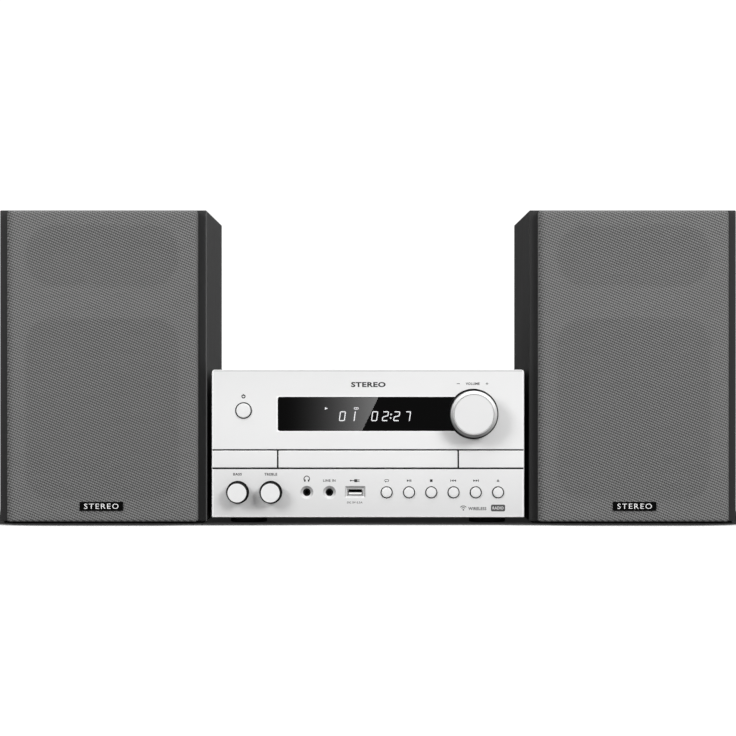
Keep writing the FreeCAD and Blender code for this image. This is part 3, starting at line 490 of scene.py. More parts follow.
def power_supply():
    """board, laminated transformer with an amber-taped winding, mains inlet with bright pins"""
    winding_y = 55
    mat = new_material("supply_parts")
    x, y, z = mat.split()
    layers = mat.node("TexWave", {"Vector": mat.position, "Scale": 420.0, "Distortion": 0.3},
                      wave_type="BANDS", bands_direction="Z").outputs[1]
    grain = mat.noise(700.0, detail=3.0, rough=0.6)
    core = mat.mix(layers, (0.10, 0.095, 0.09), (0.20, 0.19, 0.18))
    core_legs = mat.product(mat.between(y, 33.9, 76.1), mat.between(x, -124.1, -81.9),
                            mat.invert(mat.between(x, -118.1, -87.9)))
    coil = mat.product(mat.between(z, 19.5, 46.2), mat.invert(core_legs))
    tape = mat.product(mat.below(mat.away(y, winding_y), 27.3 * MM),
                       mat.above(mat.away(y, winding_y), 21.1 * MM), coil)
    colour = mat.mix(tape, core, (0.50, 0.30, 0.04))
    colour = mat.mix(mat.below(z, 13.65 * MM), colour, (0.30, 0.21, 0.08))
    inlet = mat.product(mat.above(y, 104 * MM), mat.above(z, 13.7 * MM))
    colour = mat.mix(inlet, colour, 0.012)
    pins = 0.0
    for pin_x in (-111.5, -104.5):
        pin = mat.below(mat.radius(x, z, (pin_x, 33.0)), 1.35 * MM)
        pins = mat.math("MAXIMUM", pins, mat.product(pin, inlet))
    colour = mat.mix(pins, colour, (0.78, 0.76, 0.70))
    height = mat.total((0.5, grain), (0.5, layers))
    return mat.surface(colour, mat.ramp(grain, to=(0.38, 0.55)), metal=mat.product(pins, 1.0),
                       normal=mat.bump(height, 0.05, 0.5, mat.bevel(0.3)), specular=0.4)


def painted(name, base, rough, lump):
    """textured powder coat"""
    mat = new_material(name)
    grain = mat.noise(1100.0)
    cloud = mat.noise(20.0, detail=3.0)
    colour = mat.mix(mat.ramp(grain, (0.35, 0.65)), base * 0.8, base * 1.25)
    return mat.surface(colour, mat.ramp(cloud, to=(rough - 0.05, rough + 0.07)),
                       normal=mat.bump(grain, lump, 0.6, mat.bevel(0.4)), specular=0.4)


def smoked_lens():
    """smoked gloss window: a dark see-through layer under a clean reflection"""
    mat = new_material("smoked_lens")
    ripple = mat.noise(18.0, detail=1.0, rough=0.4)
    smoke = mat.mix(mat.ramp(mat.noise(7.0, detail=1.0, rough=0.55)),
                    (0.20, 0.20, 0.205), (0.22, 0.22, 0.225))
    clear = mat.out("BsdfTransparent", {0: smoke})
    gloss = mat.out("BsdfGlossy", {"Color": 1.0, "Roughness": mat.ramp(ripple, to=(0.0, 0.008)),
                                   "Normal": mat.bump(ripple, 0.002, 0.1)})
    fresnel = mat.out("LayerWeight", {"Blend": 0.12})
    share = mat.ramp(fresnel, (0.0, 1.0), to=(0.075, 0.7))
    return mat.done(mat.mix_shader(share, clear, gloss))


def glow(name, strength=4.9):
    """lit display segment with a slight grain"""
    mat = new_material(name)
    grain = mat.noise(3000.0, detail=1.0)
    return mat.done(mat.emission(
        mat.ramp(grain, (0.2, 0.8), to=(strength * 0.9, strength * 1.1))))


def ink(name, base, rough=0.6):
    mat = new_material(name)
    grain = mat.noise(4000.0, rough=0.6)
    return mat.surface(mat.mix(mat.ramp(grain), base * 0.85, base * 1.15),
                       mat.ramp(grain, to=(rough - 0.05, rough + 0.05)),
                       normal=mat.bump(grain, 0.005, 0.4), specular=0.3)


def paper_cone(name):
    mat = new_material(name)
    fibre = mat.noise(500.0, detail=5.0, rough=0.7, distortion=1.2)
    colour = mat.mix(mat.ramp(fibre), (0.030, 0.030, 0.031), (0.055, 0.055, 0.056))
    return mat.surface(colour, mat.ramp(fibre, to=(0.55, 0.75)),
                       normal=mat.bump(fibre, 0.12, 0.7), specular=0.35)


def grille_and_badge():
    """moulded plastic frame whose badge, standing forward of it, is gloss black"""
    mat = new_material("grille_and_badge")
    _, y, _ = mat.split()
    grain = mat.noise(1400.0, detail=3.0, rough=0.6)
    badge = mat.below(y, BADGE_BACK_Y * MM)
    colour = mat.mix(badge, mat.mix(mat.ramp(grain), 0.017, 0.025), 0.002)
    normal = mat.bump(grain, 0.02, strength=mat.total((-0.9, badge), plus=1.0),
                      normal=mat.bevel(0.25))
    return mat.surface(colour, mat.total((-0.30, badge), plus=0.62), normal=normal,
                       specular=mat.total((-0.40, badge), plus=0.45))


def cloth(name, painted_light_gain):
    """plain-woven cloth: two slanted thread sets crossing over and under each other"""
    # a gain above 1 makes a lighter copy: painted light
    dark, light = 0.006, 0.207 * painted_light_gain
    per_mm = 2 * math.pi * 1000.0                  # phase of one thread per millimetre
    mat = new_material(name)
    x, y, z = mat.split()
    wobble = mat.noise(60.0)
    depth = mat.math("ADD", y, 0.130)              # carries the weave round the folded edges

    def thread(along_x, along_z, along_y, sway):
        return mat.total((along_x * per_mm, x), (along_z * per_mm, z),
                         (along_y * per_mm, depth), (sway, wobble))

    def crest(wave, side):
        rise = mat.math("POWER", mat.size(wave), 0.8)
        return mat.product(rise, mat.total((side, over), plus=0.5))

    phase_a = thread(0.184, 0.438, 0.30, 1.1)
    phase_b = thread(0.511, -0.160, 0.36, 0.9)
    wave_a = mat.math("COSINE", mat.product(phase_a, 0.5))
    wave_b = mat.math("COSINE", mat.product(phase_b, 0.5))
    over = mat.product(wave_a, wave_b)
    top = mat.math("MAXIMUM", crest(wave_a, 0.5), crest(wave_b, -0.5))
    shade = mat.total((0.42, mat.math("COSINE", phase_a)), (0.20, mat.math("COSINE", phase_b)),
                      (0.16, over), (0.55, top), plus=0.72)
    fibre = mat.noise(3800.0, rough=0.7)
    slub = mat.noise(1.0, vector=mat.stretched(40.0, 40.0, 240.0))
    hollow = mat.node("Attribute", attribute_name="hollow").outputs["Fac"]
    lee = mat.node("Attribute", attribute_name="lee").outputs["Fac"]
    # painted shade near the left edge (lee) and over the frame's openings (hollow)
    painted_shading = mat.total((-0.13, hollow), (-0.34, lee), plus=1.0)
    shade = mat.product(shade, painted_shading, mat.total((0.35, fibre), (0.18, slub), plus=0.735))
    colour = mat.mix(mat.product(shade, 0.66), dark, (light, light, light * 0.995))
    height = mat.total((1.0, top), (0.12, fibre))
    return mat.surface(colour, mat.ramp(fibre, to=(0.78, 0.92)),
                       normal=mat.bump(height, 0.30, 0.55), specular=0.12,
                       **{"Sheen Weight": 0.12, "Sheen Roughness": 0.5})


def speaker_posts(name, middle):
    return binding_posts(name, (middle - POST_OFFSET, middle + POST_OFFSET),
                         height=54, radius=6.7, base_y=85.6, tip_y=101.5)


# bevel finish of each knob, with painted light: the volume bevel gets a painted reflection,
# lighter towards the upper right, and the tone bevels a dark painted ring of shade
VOLUME_RIM_FINISH_AND_SHADE = dict(radius=17.45, shade=0.95, metal=0.2, rough=0.42, dulling=0.5,
                  shade_by_facing=((-0.48, 0.46), (0.24, 1.0)))
TONE_RIM_FINISH_AND_SHADE = dict(radius=8.0, shade=0.03, metal=0.0, rough=0.7, dulling=1.0)

MATS = {
    "panel": panel_metal(),
    "knob": silver("spun_volume", metal=0.30, edge=0.12, centre=VOLUME_CENTRE, rim=VOLUME_RIM_FINISH_AND_SHADE),
    "bass": silver("spun_bass", centre=BASS_CENTRE, rim=TONE_RIM_FINISH_AND_SHADE),
    "treble": silver("spun_treble", centre=TREBLE_CENTRE, rim=TONE_RIM_FINISH_AND_SHADE),
    "key": silver("satin_key", base=0.84, metal=0.2, rough=0.36, grain=0.008),
    "black_plastic": plastic("black_plastic"),
    "jack": plastic("jack_black", base=(0.006, 0.006, 0.006), rough=0.42, specular=0.3),
    "lens": smoked_lens(),
    "module": plastic("module_dark", base=(0.006, 0.006, 0.0065), rough=0.7, specular=0.05),
    "cover": painted("cover_paint", base=0.022, rough=0.52, lump=0.05),
    "rear": painted("rear_paint", base=0.020, rough=0.55, lump=0.03),
    "steel": metal("plated_steel"),
    "sink": metal("mill_aluminium", base=(0.6, 0.6, 0.61), rough=0.42,
                  brush=(900.0, 900.0, 10.0)),
    "nickel": metal("nickel_plate", base=(0.72, 0.71, 0.69), rough=0.22,
                    brush=(300.0, 300.0, 300.0), edge=0.15, depth=0.003),
    "usb": usb_socket(),
    "posts_l": speaker_posts("left_posts", -SPEAKER_X),
    "posts_r": speaker_posts("right_posts", SPEAKER_X),
    "posts_m": binding_posts("receiver_posts", (-45.5, -34.5, -21.5, -10.5), height=33,
                             radius=4.6, base_y=126.3, tip_y=135.9),
    "board": component_board("component_board", board_z=13.65, cap_z=37.4),
    "supply": power_supply(),
    "sleeve": component_board("capacitor_sleeve", board_z=13.0, cap_z=22.0),
    "gasket": rubber("foam_gasket", base=0.012, rough=0.85),
    "lens_glass": plastic("pickup_lens", base=(0.02, 0.05, 0.16), rough=0.08, specular=0.8,
                          depth=0.001, **{"Coat Weight": 1.0, "Coat Roughness": 0.12}),
    "ribbon": plastic("ribbon_grey", base=(0.42, 0.42, 0.44), rough=0.45, scale=700.0),
    "rubber": rubber("black_rubber"),
    "feet": rubber("foot_rubber", base=0.014, rough=0.8),
    "pcb": plain_board(),
    "acetal": plastic("acetal_white", base=(0.62, 0.62, 0.58), rough=0.4, scale=900.0,
                      depth=0.01, specular=0.5),
    "core": metal("varnished_core", base=(0.30, 0.28, 0.25), rough=0.5,
                  brush=(20.0, 20.0, 1600.0), edge=0.3, depth=0.03),
    "screw": metal("black_screw", base=(0.09, 0.09, 0.092), rough=0.38,
                   brush=(400.0, 400.0, 400.0), edge=0.15, depth=0.004),
    "vinyl": vinyl(),
    "grille_frame": grille_and_badge(),
    "cloth": cloth("grille_weave", painted_light_gain=1.0),
    # the right cloth is a lighter copy of the left: painted light
    "cloth_r": cloth("grille_weave_r", painted_light_gain=1.06),
    "basket": painted("basket_paint", base=0.02, rough=0.45, lump=0.02),
    "cone": paper_cone("pulp_cone"),
    "surround": rubber("surround_rubber", base=0.014, rough=0.55),
    "dome": paper_cone("doped_dome"),
    "ink": ink("print_ink", base=0.028),
    "ink_small": ink("print_ink_small", base=0.045),
    "ink_mid": ink("print_ink_mid", base=0.075),
    "ink_pale": ink("print_pale", base=0.70),
    "ink_light": ink("print_light", base=0.80),
    "glow": glow("segments"),
    "glow_dim": glow("segments_dim"),
}

# material of each CAD piece
PAINT = {
    "front_panel": "panel", "tray_door": "panel", "volume_knob": "knob", "bass_knob": "bass",
    "treble_knob": "treble", "front_subframe": "black_plastic", "loader_base": "black_plastic",
    "clamp_bridge": "black_plastic", "cd_tray": "black_plastic", "laser_sled": "black_plastic",
    "display_lens": "lens", "display_module": "module", "top_cover": "cover",
    "rear_panel": "rear", "bottom_chassis": "steel", "heatsink": "sink", "unit_feet": "feet",
    "main_board": "board", "control_board": "pcb", "key_switches": "black_plastic",
    "rotary_controls": "steel", "audio_jacks": "jack", "rear_terminals": "posts_m",
    "usb_port": "usb", "antenna_socket": "nickel", "power_supply": "supply",
    "loading_motor": "steel", "drive_belt": "rubber", "unit_screws": "screw",
    "tray_gear": "acetal", "pulley_gear": "acetal", "motor_pulley": "acetal",
    "turntable": "black_plastic", "clamp_puck": "acetal", "traverse_deck": "steel",
}
for key in ("power", "source", "play", "stop", "back", "next", "eject"):
    PAINT[key + "_button"] = "key"
for side in ("left", "right"):
    for piece, paint in (
            ("cabinet", "vinyl"), ("grille_frame", "grille_frame"), ("grille_cloth", "cloth"),
            ("woofer_basket", "basket"), ("woofer_cone", "cone"),
            ("woofer_surround", "surround"), ("tweeter_body", "black_plastic"),
            ("tweeter_dome", "dome"), ("terminal_cup", "posts_" + side[0])):
        PAINT[f"{side}_{piece}"] = paint


def smooth_faces(mesh):
    mesh.polygons.foreach_set("use_smooth", [True] * len(mesh.polygons))


for name, piece in NODES.items():
    piece.data.materials.clear()
    piece.data.materials.append(MATS[PAINT[name]])
    smooth_faces(piece.data)
    piece.data.set_sharp_from_angle(angle=math.radians(28))


# ------------------------------------------------------------------ mesh helpers
# where a flat mark lies: its front and back Y, the body it rides on and the piece it is on
Place = namedtuple("Place", "front back body slot")


def add(name, verts, faces, material, body, smooth=False):
    mesh = bpy.data.meshes.new(name)
    mesh.from_pydata([tuple(c * MM for c in vert) for vert in verts], [], faces)
    bm = bmesh.new()
    bm.from_mesh(mesh)
    bmesh.ops.remove_doubles(bm, verts=bm.verts, dist=1e-7)
    bmesh.ops.recalc_face_normals(bm, faces=bm.faces)
    bm.to_mesh(mesh)
    bm.free()
    if smooth:
        smooth_faces(mesh)
    mesh.materials.append(MATS[material])
    obj = bpy.data.objects.new(name, mesh)
    scene.collection.objects.link(obj)
    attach(obj, body)
    return obj


def on_circle(centre, radius, angle):
    return centre[0] + radius * math.cos(angle), centre[1] + radius * math.sin(angle)


class Shape:
    """collects prisms drawn in the XZ plane, thin along Y"""

    def __init__(self, place):
        self.place = place
        self.verts, self.faces = [], []

    def layer(self, points, y):
        self.verts += [(x, y, z) for x, z in points]

    def poly(self, points):
        n, base = len(points), len(self.verts)
        self.layer(points, self.place.front)
        self.layer(points, self.place.back)
        self.faces.append(tuple(range(base, base + n)))
        self.faces.append(tuple(range(base + 2 * n - 1, base + n - 1, -1)))
        for i in range(n):
            j = (i + 1) % n
            self.faces.append((base + i, base + j, base + n + j, base + n + i))
        return self

    def rect(self, x0, x1, z0, z1):
        return self.poly([(x0, z0), (x1, z0), (x1, z1), (x0, z1)])

    def triangle(self, x, z, width, height=2.0):
        """upright side at x; points right, or left when the width is negative"""
        low, tip, high = (x, z - height / 2), (x + width, z), (x, z + height / 2)
        return self.poly([low, tip, high] if width > 0 else [low, high, tip])

    def ribbon(self, points, width, closed=False):
        """line of constant width with mitred corners"""
        n, base = len(points), len(self.verts)
        points = [Vector(point) for point in points]
        left, right = [], []
        for i, point in enumerate(points):
            before = after = None
            if i > 0 or closed:
                before = (point - points[i - 1]).normalized()
            if i < n - 1 or closed:
                after = (points[(i + 1) % n] - point).normalized()
            before, after = before or after, after or before
            along = (before + after).normalized()
            across = Vector((-along.y, along.x))
            turn = across.dot(Vector((-before.y, before.x)))
            mitre = min(1.8, 1.0 / max(0.3, turn))
            left.append(point + across * (width / 2 * mitre))
            right.append(point - across * (width / 2 * mitre))
        self.layer(left + right, self.place.front)
        self.layer(left + right, self.place.back)
        l1, r1, l2, r2 = (base + n * k for k in range(4))      # front pair, then back pair
        for i in range(n if closed else n - 1):
            j = (i + 1) % n
            self.faces += [(l1 + i, l1 + j, r1 + j, r1 + i), (l2 + j, l2 + i, r2 + i, r2 + j),
                           (l1 + j, l1 + i, l2 + i, l2 + j), (r1 + i, r1 + j, r2 + j, r2 + i)]
        if not closed:
            e = n - 1
            self.faces += [(l1, r1, r2, l2), (r1 + e, l1 + e, l2 + e, r2 + e)]
        return self

    def arc(self, centre, radius, start, end, width, steps=20):
        """angles in degrees"""
        return self.ribbon([on_circle(centre, radius,
                                      math.radians(start + (end - start) * i / steps))
                            for i in range(steps + 1)], width)

    def disc(self, centre, radius, steps=20):
        return self.poly([on_circle(centre, radius, 2 * math.pi * i / steps)
                          for i in range(steps)])

    def make(self, name, material):
        add(name, self.verts, self.faces, material, self.place.body)


def text(name, words, centre_x, base_z, width, height, material, place, bold=0.0, gap=1.0,
         flip=False):
    """lettering fitted to a width and height; flip makes it read from behind"""
    curve = bpy.data.curves.new(name, "FONT")
    curve.body = words
    curve.size = 1.0
    curve.extrude = 0.05
    curve.offset = bold
    curve.space_character = gap
    curve.resolution_u = 3
    temp = bpy.data.objects.new(name + "_tmp", curve)
    scene.collection.objects.link(temp)
    bpy.context.view_layer.update()
    graph = bpy.context.evaluated_depsgraph_get()
    mesh = bpy.data.meshes.new_from_object(temp.evaluated_get(graph))
    points = np.array([vert.co for vert in mesh.vertices], float)
    faces = [tuple(face.vertices) for face in mesh.polygons]
    bpy.data.objects.remove(temp)
    bpy.data.meshes.remove(mesh)
    low, high = points.min(0), points.max(0)
    scale_x, scale_z = width / (high[0] - low[0]), height / (high[1] - low[1])
    verts = []
    for point in points:
        x = -width / 2 + (point[0] - low[0]) * scale_x
        verts.append((centre_x - x if flip else centre_x + x,
                      place.front if point[2] > 0 else place.back,
                      base_z + (point[1] - low[1]) * scale_z))
    add(name, verts, faces, material, place.body)


def turned(name, profile, centres, material, body, axis="Y", steps=24):
    """one object that repeats a turned profile of (radius, place along the axis) at centres"""
    verts, faces = [], []
    k = len(profile)
    for centre in centres:
        base = len(verts)
        for i in range(steps):
            for radius, along in profile:
                a, b = on_circle(centre, radius, 2 * math.pi * i / steps)
                verts.append((a, along, b) if axis == "Y" else (a, b, along))
        for i in range(steps):
            j = (i + 1) % steps
            for q in range(k - 1):
                faces.append((base + i * k + q, base + i * k + q + 1,
                              base + j * k + q + 1, base + j * k + q))
    obj = add(name, verts, faces, material, body, smooth=True)
    bm = bmesh.new()
    bm.from_mesh(obj.data)
    bmesh.ops.remove_doubles(bm, verts=bm.verts, dist=1e-6)
    bmesh.ops.dissolve_degenerate(bm, edges=bm.edges, dist=1e-7)
    bmesh.ops.recalc_face_normals(bm, faces=bm.faces)
    bm.to_mesh(obj.data)
    bm.free()
    obj.data.set_sharp_from_angle(angle=math.radians(30))


# ------------------------------------------------------------------ printed marks
PANEL = Place(FRONT_Y - 0.04, FRONT_Y + 0.01, MAIN, "front_panel")
OVER_PLATE = PANEL._replace(front=PANEL.front - 0.03, back=PANEL.front + 0.005)
REAR = Place(124.24, 124.19, MAIN, "rear_panel")
KEY_MARK_Z = 36.8


def front_marks():
    # name, words, centre x, base z, width, height, material, bold, gap
    for name, words, x, z, width, height, material, bold, gap in (
            ("stereo", "STEREO", 0.3, 117.5, 29.8, 4.4, "ink", 0.036, 1.08),
            ("volume", "VOLUME", 90.3, 119.4, 12.0, 2.15, "ink_small", 0.03, 1.1),
            ("bass", "BASS", -112.6, 41.2, 7.4, 2.25, "ink_small", 0.03, 1.1),
            ("treble", "TREBLE", -83.9, 41.2, 11.1, 2.25, "ink_small", 0.03, 1.1),
            ("line_in", "LINE IN", -33.4, 35.8, 10.7, 2.1, "ink_small", 0.024, 1.1)):
        text("mark_" + name, words, x, z, width, height, material, PANEL, bold, gap)
    Shape(PANEL).rect(76.6, 79.2, 120.2, 120.75).make("mark_minus", "ink_small")
    plus = Shape(PANEL).rect(101.6, 103.8, 120.2, 120.7)
    plus.rect(102.45, 102.95, 119.35, 120.2).rect(102.45, 102.95, 120.7, 121.55)
    plus.make("mark_plus", "ink_small")
    power = Shape(PANEL).arc((-107.45, 109.5), radius=1.35, start=118, end=422, width=0.85)
    power.rect(-107.85, -107.05, 109.9, 111.5).make("mark_power", "ink")
    phones = Shape(PANEL).arc((-52.85, 38.35), radius=2.4, start=-38, end=218, width=0.7)
    phones.poly([(-55.1, 36.0), (-54.0, 35.75), (-53.7, 37.6), (-54.9, 37.9)])
    phones.poly([(-51.7, 35.75), (-50.6, 36.0), (-50.8, 37.9), (-52.0, 37.6)])
    phones.make("mark_headphones", "ink")
    plug = Shape(PANEL).ribbon([(-14.8, 36.8), (-11.8, 36.8)], 0.55)
    plug.rect(-11.8, -9.3, 35.5, 38.1).rect(-9.3, -7.3, 35.9, 36.45)
    plug.rect(-9.3, -7.3, 37.15, 37.7).disc((-14.9, 36.8), 0.75, 12)
    plug.make("mark_plug", "ink_small")
    text("mark_supply", "DC 5V 0.5A", -11.4, 17.1, 13.4, 1.7, "ink_small", PANEL,
         bold=0.02, gap=1.05)


def wireless_marks():
    """wave, word and rounded plate, lower right"""
    source = (82.3, 11.6)
    waves = Shape(PANEL).disc(source, 0.65, 14)
    for radius in (1.9, 3.4):
        waves.arc(source, radius, start=40, end=140, width=0.62, steps=10)
    waves.make("mark_waves", "ink_mid")
    text("mark_wireless", "WIRELESS", 94.3, 11.3, 15.6, 2.7, "ink_mid", PANEL,
         bold=0.03, gap=1.06)
    # corner x, z and the angle at which its arc starts
    corners = ((117.2, 15.0, 0), (107.2, 15.0, 90), (107.2, 11.4, 180), (117.2, 11.4, 270))
    Shape(PANEL).poly([on_circle((x, z), 1.1, math.radians(start + turn))
                       for x, z, start in corners for turn in (0, 30, 60, 90)]
                      ).make("mark_tuner_plate", "ink_mid")
    text("mark_tuner", "RADIO", 112.2, 11.9, 9.4, 2.6, "ink_pale", OVER_PLATE,
         bold=0.02, gap=1.08)


def key_marks():
    z = KEY_MARK_Z
    low, high = z - 0.95, z + 0.95                 # ends of the upright bars
    loop = Shape(PANEL).ribbon(
        [(14.7, z - 0.9), (17.3, z - 0.9), (17.8, z - 0.5), (17.8, z + 0.5), (17.3, z + 0.9),
         (14.9, z + 0.9), (14.4, z + 0.5), (14.4, z - 0.2)], 0.42)
    loop.triangle(15.5, z - 0.9, -1.1, 1.4).make("mark_source", "ink_small")
    play = Shape(PANEL).triangle(33.6, z, 1.9)
    play.rect(35.8, 36.4, low, high).rect(36.8, 37.4, low, high).make("mark_play", "ink")
    Shape(PANEL).rect(53.5, 55.7, z - 1.1, z + 1.1).make("mark_stop", "ink")
    back = Shape(PANEL).rect(71.1, 71.7, low, high)
    back.triangle(73.8, z, -2.0).triangle(75.9, z, -2.0).make("mark_back", "ink")
    forward = Shape(PANEL).triangle(90.8, z, 2.0).triangle(92.9, z, 2.0)
    forward.rect(95.0, 95.6, low, high).make("mark_next", "ink")
    eject = Shape(PANEL).poly([(111.1, z - 0.1), (113.3, z - 0.1), (112.2, z + 1.2)])
    eject.rect(111.1, 113.3, z - 1.0, z - 0.4).make("mark_eject", "ink")


def rear_marks():
    # name, words, centre x, base z, width, height
    for name, words, *box in (
            ("speakers", "SPEAKERS", -28.0, 49.0, 18.0, 2.5),
            ("right", "R", -40.0, 15.0, 1.9, 2.6), ("left", "L", -16.0, 15.0, 1.6, 2.6),
            ("antenna", "ANTENNA", 70.0, 112.5, 15.5, 2.4),
            ("mains", "AC IN", -108.0, 41.0, 9.5, 2.4)):
        text("mark_rear_" + name, words, *box, "ink_light", REAR, bold=0.01, gap=1.05,
             flip=True)


# ------------------------------------------------------------------ speaker hardware
WOOFER_SCREW_CIRCLE = 60.5
TWEETER_SCREW_CIRCLE = 20.8
CUP_BACK_Y = 107.0
# radius and Y of a grommet's section
GROMMET = [(3.35, -119.97), (3.35, -120.22), (3.6, -120.38), (4.6, -120.38), (4.85, -120.15),
           (4.85, -119.97), (3.35, -119.97)]


def socket_screw(radius, seat_y, height, way=-1.0):
    """profile of a button head with a round recess; way is where it points along Y"""
    recess = seat_y + way * height * 0.45
    foot = seat_y - way * 0.03
    return [(0.0, recess), (radius * 0.42, recess),
            (radius * 0.46, seat_y + way * height), (radius * 0.72, seat_y + way * height),
            (radius * 0.93, seat_y + way * height * 0.72),
            (radius, seat_y + way * height * 0.3), (radius, foot), (0.0, foot)]


def speaker_hardware(side, middle):
    body = side + "_speaker"
    cup = side + "_terminal_cup"
    diagonal = WOOFER_SCREW_CIRCLE * math.cos(math.radians(45))
    turned(side + "_woofer_screws", socket_screw(2.4, FRONT_Y, 1.2),
           [(middle + sx * diagonal, WOOFER_Z + sz * diagonal)
            for sx in (-1, 1) for sz in (-1, 1)], "screw", body)
    turned(side + "_tweeter_screws", socket_screw(2.5, FRONT_Y, 1.1),
           [on_circle((middle, TWEETER_Z), TWEETER_SCREW_CIRCLE, math.radians(angle))
            for angle in (90, 210, 330)], "screw", body)
    turned(side + "_peg_grommets", GROMMET,
           [(middle + dx, z) for dx in (-74.0, 74.0) for z in (12.0, 263.0)],
           "gasket", body)
    turned(side + "_terminal_screws", socket_screw(2.2, CUP_BACK_Y, 1.0, way=1.0),
           [(middle + dx, z) for dx in (-37.0, 37.0) for z in (29.0, 79.0)],
           "screw", body)
    plus, minus = middle - POST_OFFSET, middle + POST_OFFSET
    signs = Shape(Place(CUP_BACK_Y + 0.04, CUP_BACK_Y - 0.01, body, cup))
    signs.rect(plus - 1.4, plus + 1.4, 78.55, 79.0)
    signs.rect(plus - 0.22, plus + 0.22, 77.4, 78.55)
    signs.rect(plus - 0.22, plus + 0.22, 79.0, 80.15)
    signs.rect(minus - 1.4, minus + 1.4, 78.55, 79.0)
    signs.make(side + "_polarity", "ink_light")


# ------------------------------------------------------------------ inside the main unit
BOARD_TOP = 13.58                  # small parts start just inside the board
# radius and Z of each section
PICKUP_LENS = [(0.0, 51.85), (0.8, 51.78), (1.5, 51.58), (2.0, 51.3), (2.0, 51.15),
               (0.0, 51.15)]
TURNTABLE_RING = [(9.0, 56.46), (9.0, 56.75), (9.3, 56.9), (14.2, 56.9), (14.5, 56.75),
                  (14.5, 56.46), (9.0, 56.46)]
CAPACITOR = [(0.0, 22.2), (2.6, 22.2), (2.85, 21.9), (2.85, 15.2), (2.7, 14.9), (2.85, 14.6),
             (2.85, BOARD_TOP), (0.0, BOARD_TOP)]
# X and Y of each capacitor
CAPACITOR_PLACES = [(-45, 99), (-36, 101), (-27, 98), (-17, 101), (-8, 98), (2, 101), (14, 97),
                    (24, 101), (27, 111), (66, 72), (75, 73), (86, 112), (64, 112)]
CHIP_COLUMNS = (16, 22, 28, 34, 66, 72, 78, 84, 90)
CHIP_ROWS = (67.5, 74.5, 107.5)
# places of the grid left empty, X and Y
CHIP_GAPS = {(66, 74.5), (72, 74.5), (78, 74.5), (28, 107.5), (66, 107.5), (84, 107.5),
             (90, 107.5)}
CHIP_HALF_X, CHIP_HALF_Y, CHIP_HEIGHT = 1.0, 2.4, 1.1

CABLE_X, CABLE_WIDTH = 34.0, 24.0  # left edge and width
CABLE_STEPS = 48
# Y and Z along the cable: down from the front board, over the floor, up to the main board
CABLE_PATH = [(-105.1, 24.0), (-99.5, 24.0), (-96.4, 23.1), (-94.8, 20.5), (-94.0, 16.0),
              (-92.5, 11.5), (-89.5, 9.0), (-84.0, 8.3)]
CABLE_PATH += [(y, 8.3 + 0.5 * math.sin(y * 0.05)) for y in range(-76, 50, 9)]
CABLE_PATH += [(54.0, 8.9), (57.5, 10.6), (60.0, 13.4), (62.5, 15.3), (66.0, 15.6),
               (68.6, 15.0), (70.2, 13.9)]


def board_chips():
    """blocks with drawn-in tops, two quad rings and two caps each"""
    levels = ((0.0, 1.0), (CHIP_HEIGHT * 0.7, 1.0), (CHIP_HEIGHT, 0.75))   # rise, scale
    verts, faces = [], []
    for y in CHIP_ROWS:
        for x in CHIP_COLUMNS:
            if (x, y) in CHIP_GAPS:
                continue
            b = len(verts)
            for rise, scale in levels:
                verts += [(x + sx * CHIP_HALF_X * scale, y + sy * CHIP_HALF_Y * scale,
                           BOARD_TOP + rise) for sx, sy in ((-1, -1), (1, -1), (1, 1), (-1, 1))]
            for ring in (b, b + 4):
                faces += [(ring + i, ring + (i + 1) % 4, ring + 4 + (i + 1) % 4, ring + 4 + i)
                          for i in range(4)]
            faces += [(b + 3, b + 2, b + 1, b), (b + 8, b + 9, b + 10, b + 11)]
    add("board_chips", verts, faces, "module", MAIN)


def ribbon_cable():
    """ribbed strip; each station has a row of points on either face"""
    verts, faces = [], []
    side = CABLE_STEPS + 1
    row = 2 * side
    last = len(CABLE_PATH) - 1
    for j, (y, z) in enumerate(CABLE_PATH):
        before, after = Vector(CABLE_PATH[max(0, j - 1)]), Vector(CABLE_PATH[min(last, j + 1)])
        along = (after - before).normalized()
        for way in (1, -1):
            for i in range(side):
                half = 0.18 + 0.27 * abs(math.sin(math.pi * i / 4.0))
                verts.append((CABLE_X + CABLE_WIDTH * i / CABLE_STEPS,
                              y - along.y * half * way, z + along.x * half * way))
    for j in range(last):
        for i in range(CABLE_STEPS):
            a = j * row + i
            b = a + side
            faces.append((a, a + 1, a + row + 1, a + row))
            faces.append((b + 1, b, b + row, b + row + 1))
        for i in (0, CABLE_STEPS):
            a = j * row + i
            b = a + side
            faces.append((b, b + row, a + row, a) if i else (a, a + row, b + row, b))
    for j in (0, last):
        for i in range(CABLE_STEPS):
            a = j * row + i
            b = a + side
            faces.append((a, a + 1, b + 1, b) if j else (b, b + 1, a + 1, a))
    add("ribbon_cable", verts, faces, "ribbon", MAIN, smooth=True)


def inner_parts():
    turned("pickup_lens", PICKUP_LENS, [(0.0, -19.0)], "lens_glass", "sled", "Z")
    turned("turntable_ring", TURNTABLE_RING, [(0.0, -43.0)], "gasket", "turntable",
           "Z", steps=48)
    turned("board_capacitors", CAPACITOR, CAPACITOR_PLACES, "sleeve", MAIN, "Z")
    board_chips()
    ribbon_cable()


# ------------------------------------------------------------------ lit display segments
DISPLAY = Place(-116.35, -116.05, MAIN, "display_module")
DIGIT_BASE = 88.5                  # Z of the lowest stroke's middle line
DIGIT_WIDTH, DIGIT_HEIGHT = 4.35, 7.65         # between the middle lines of strokes
STROKE = 0.78
SLANT = 0.14
CORNER = 0.9
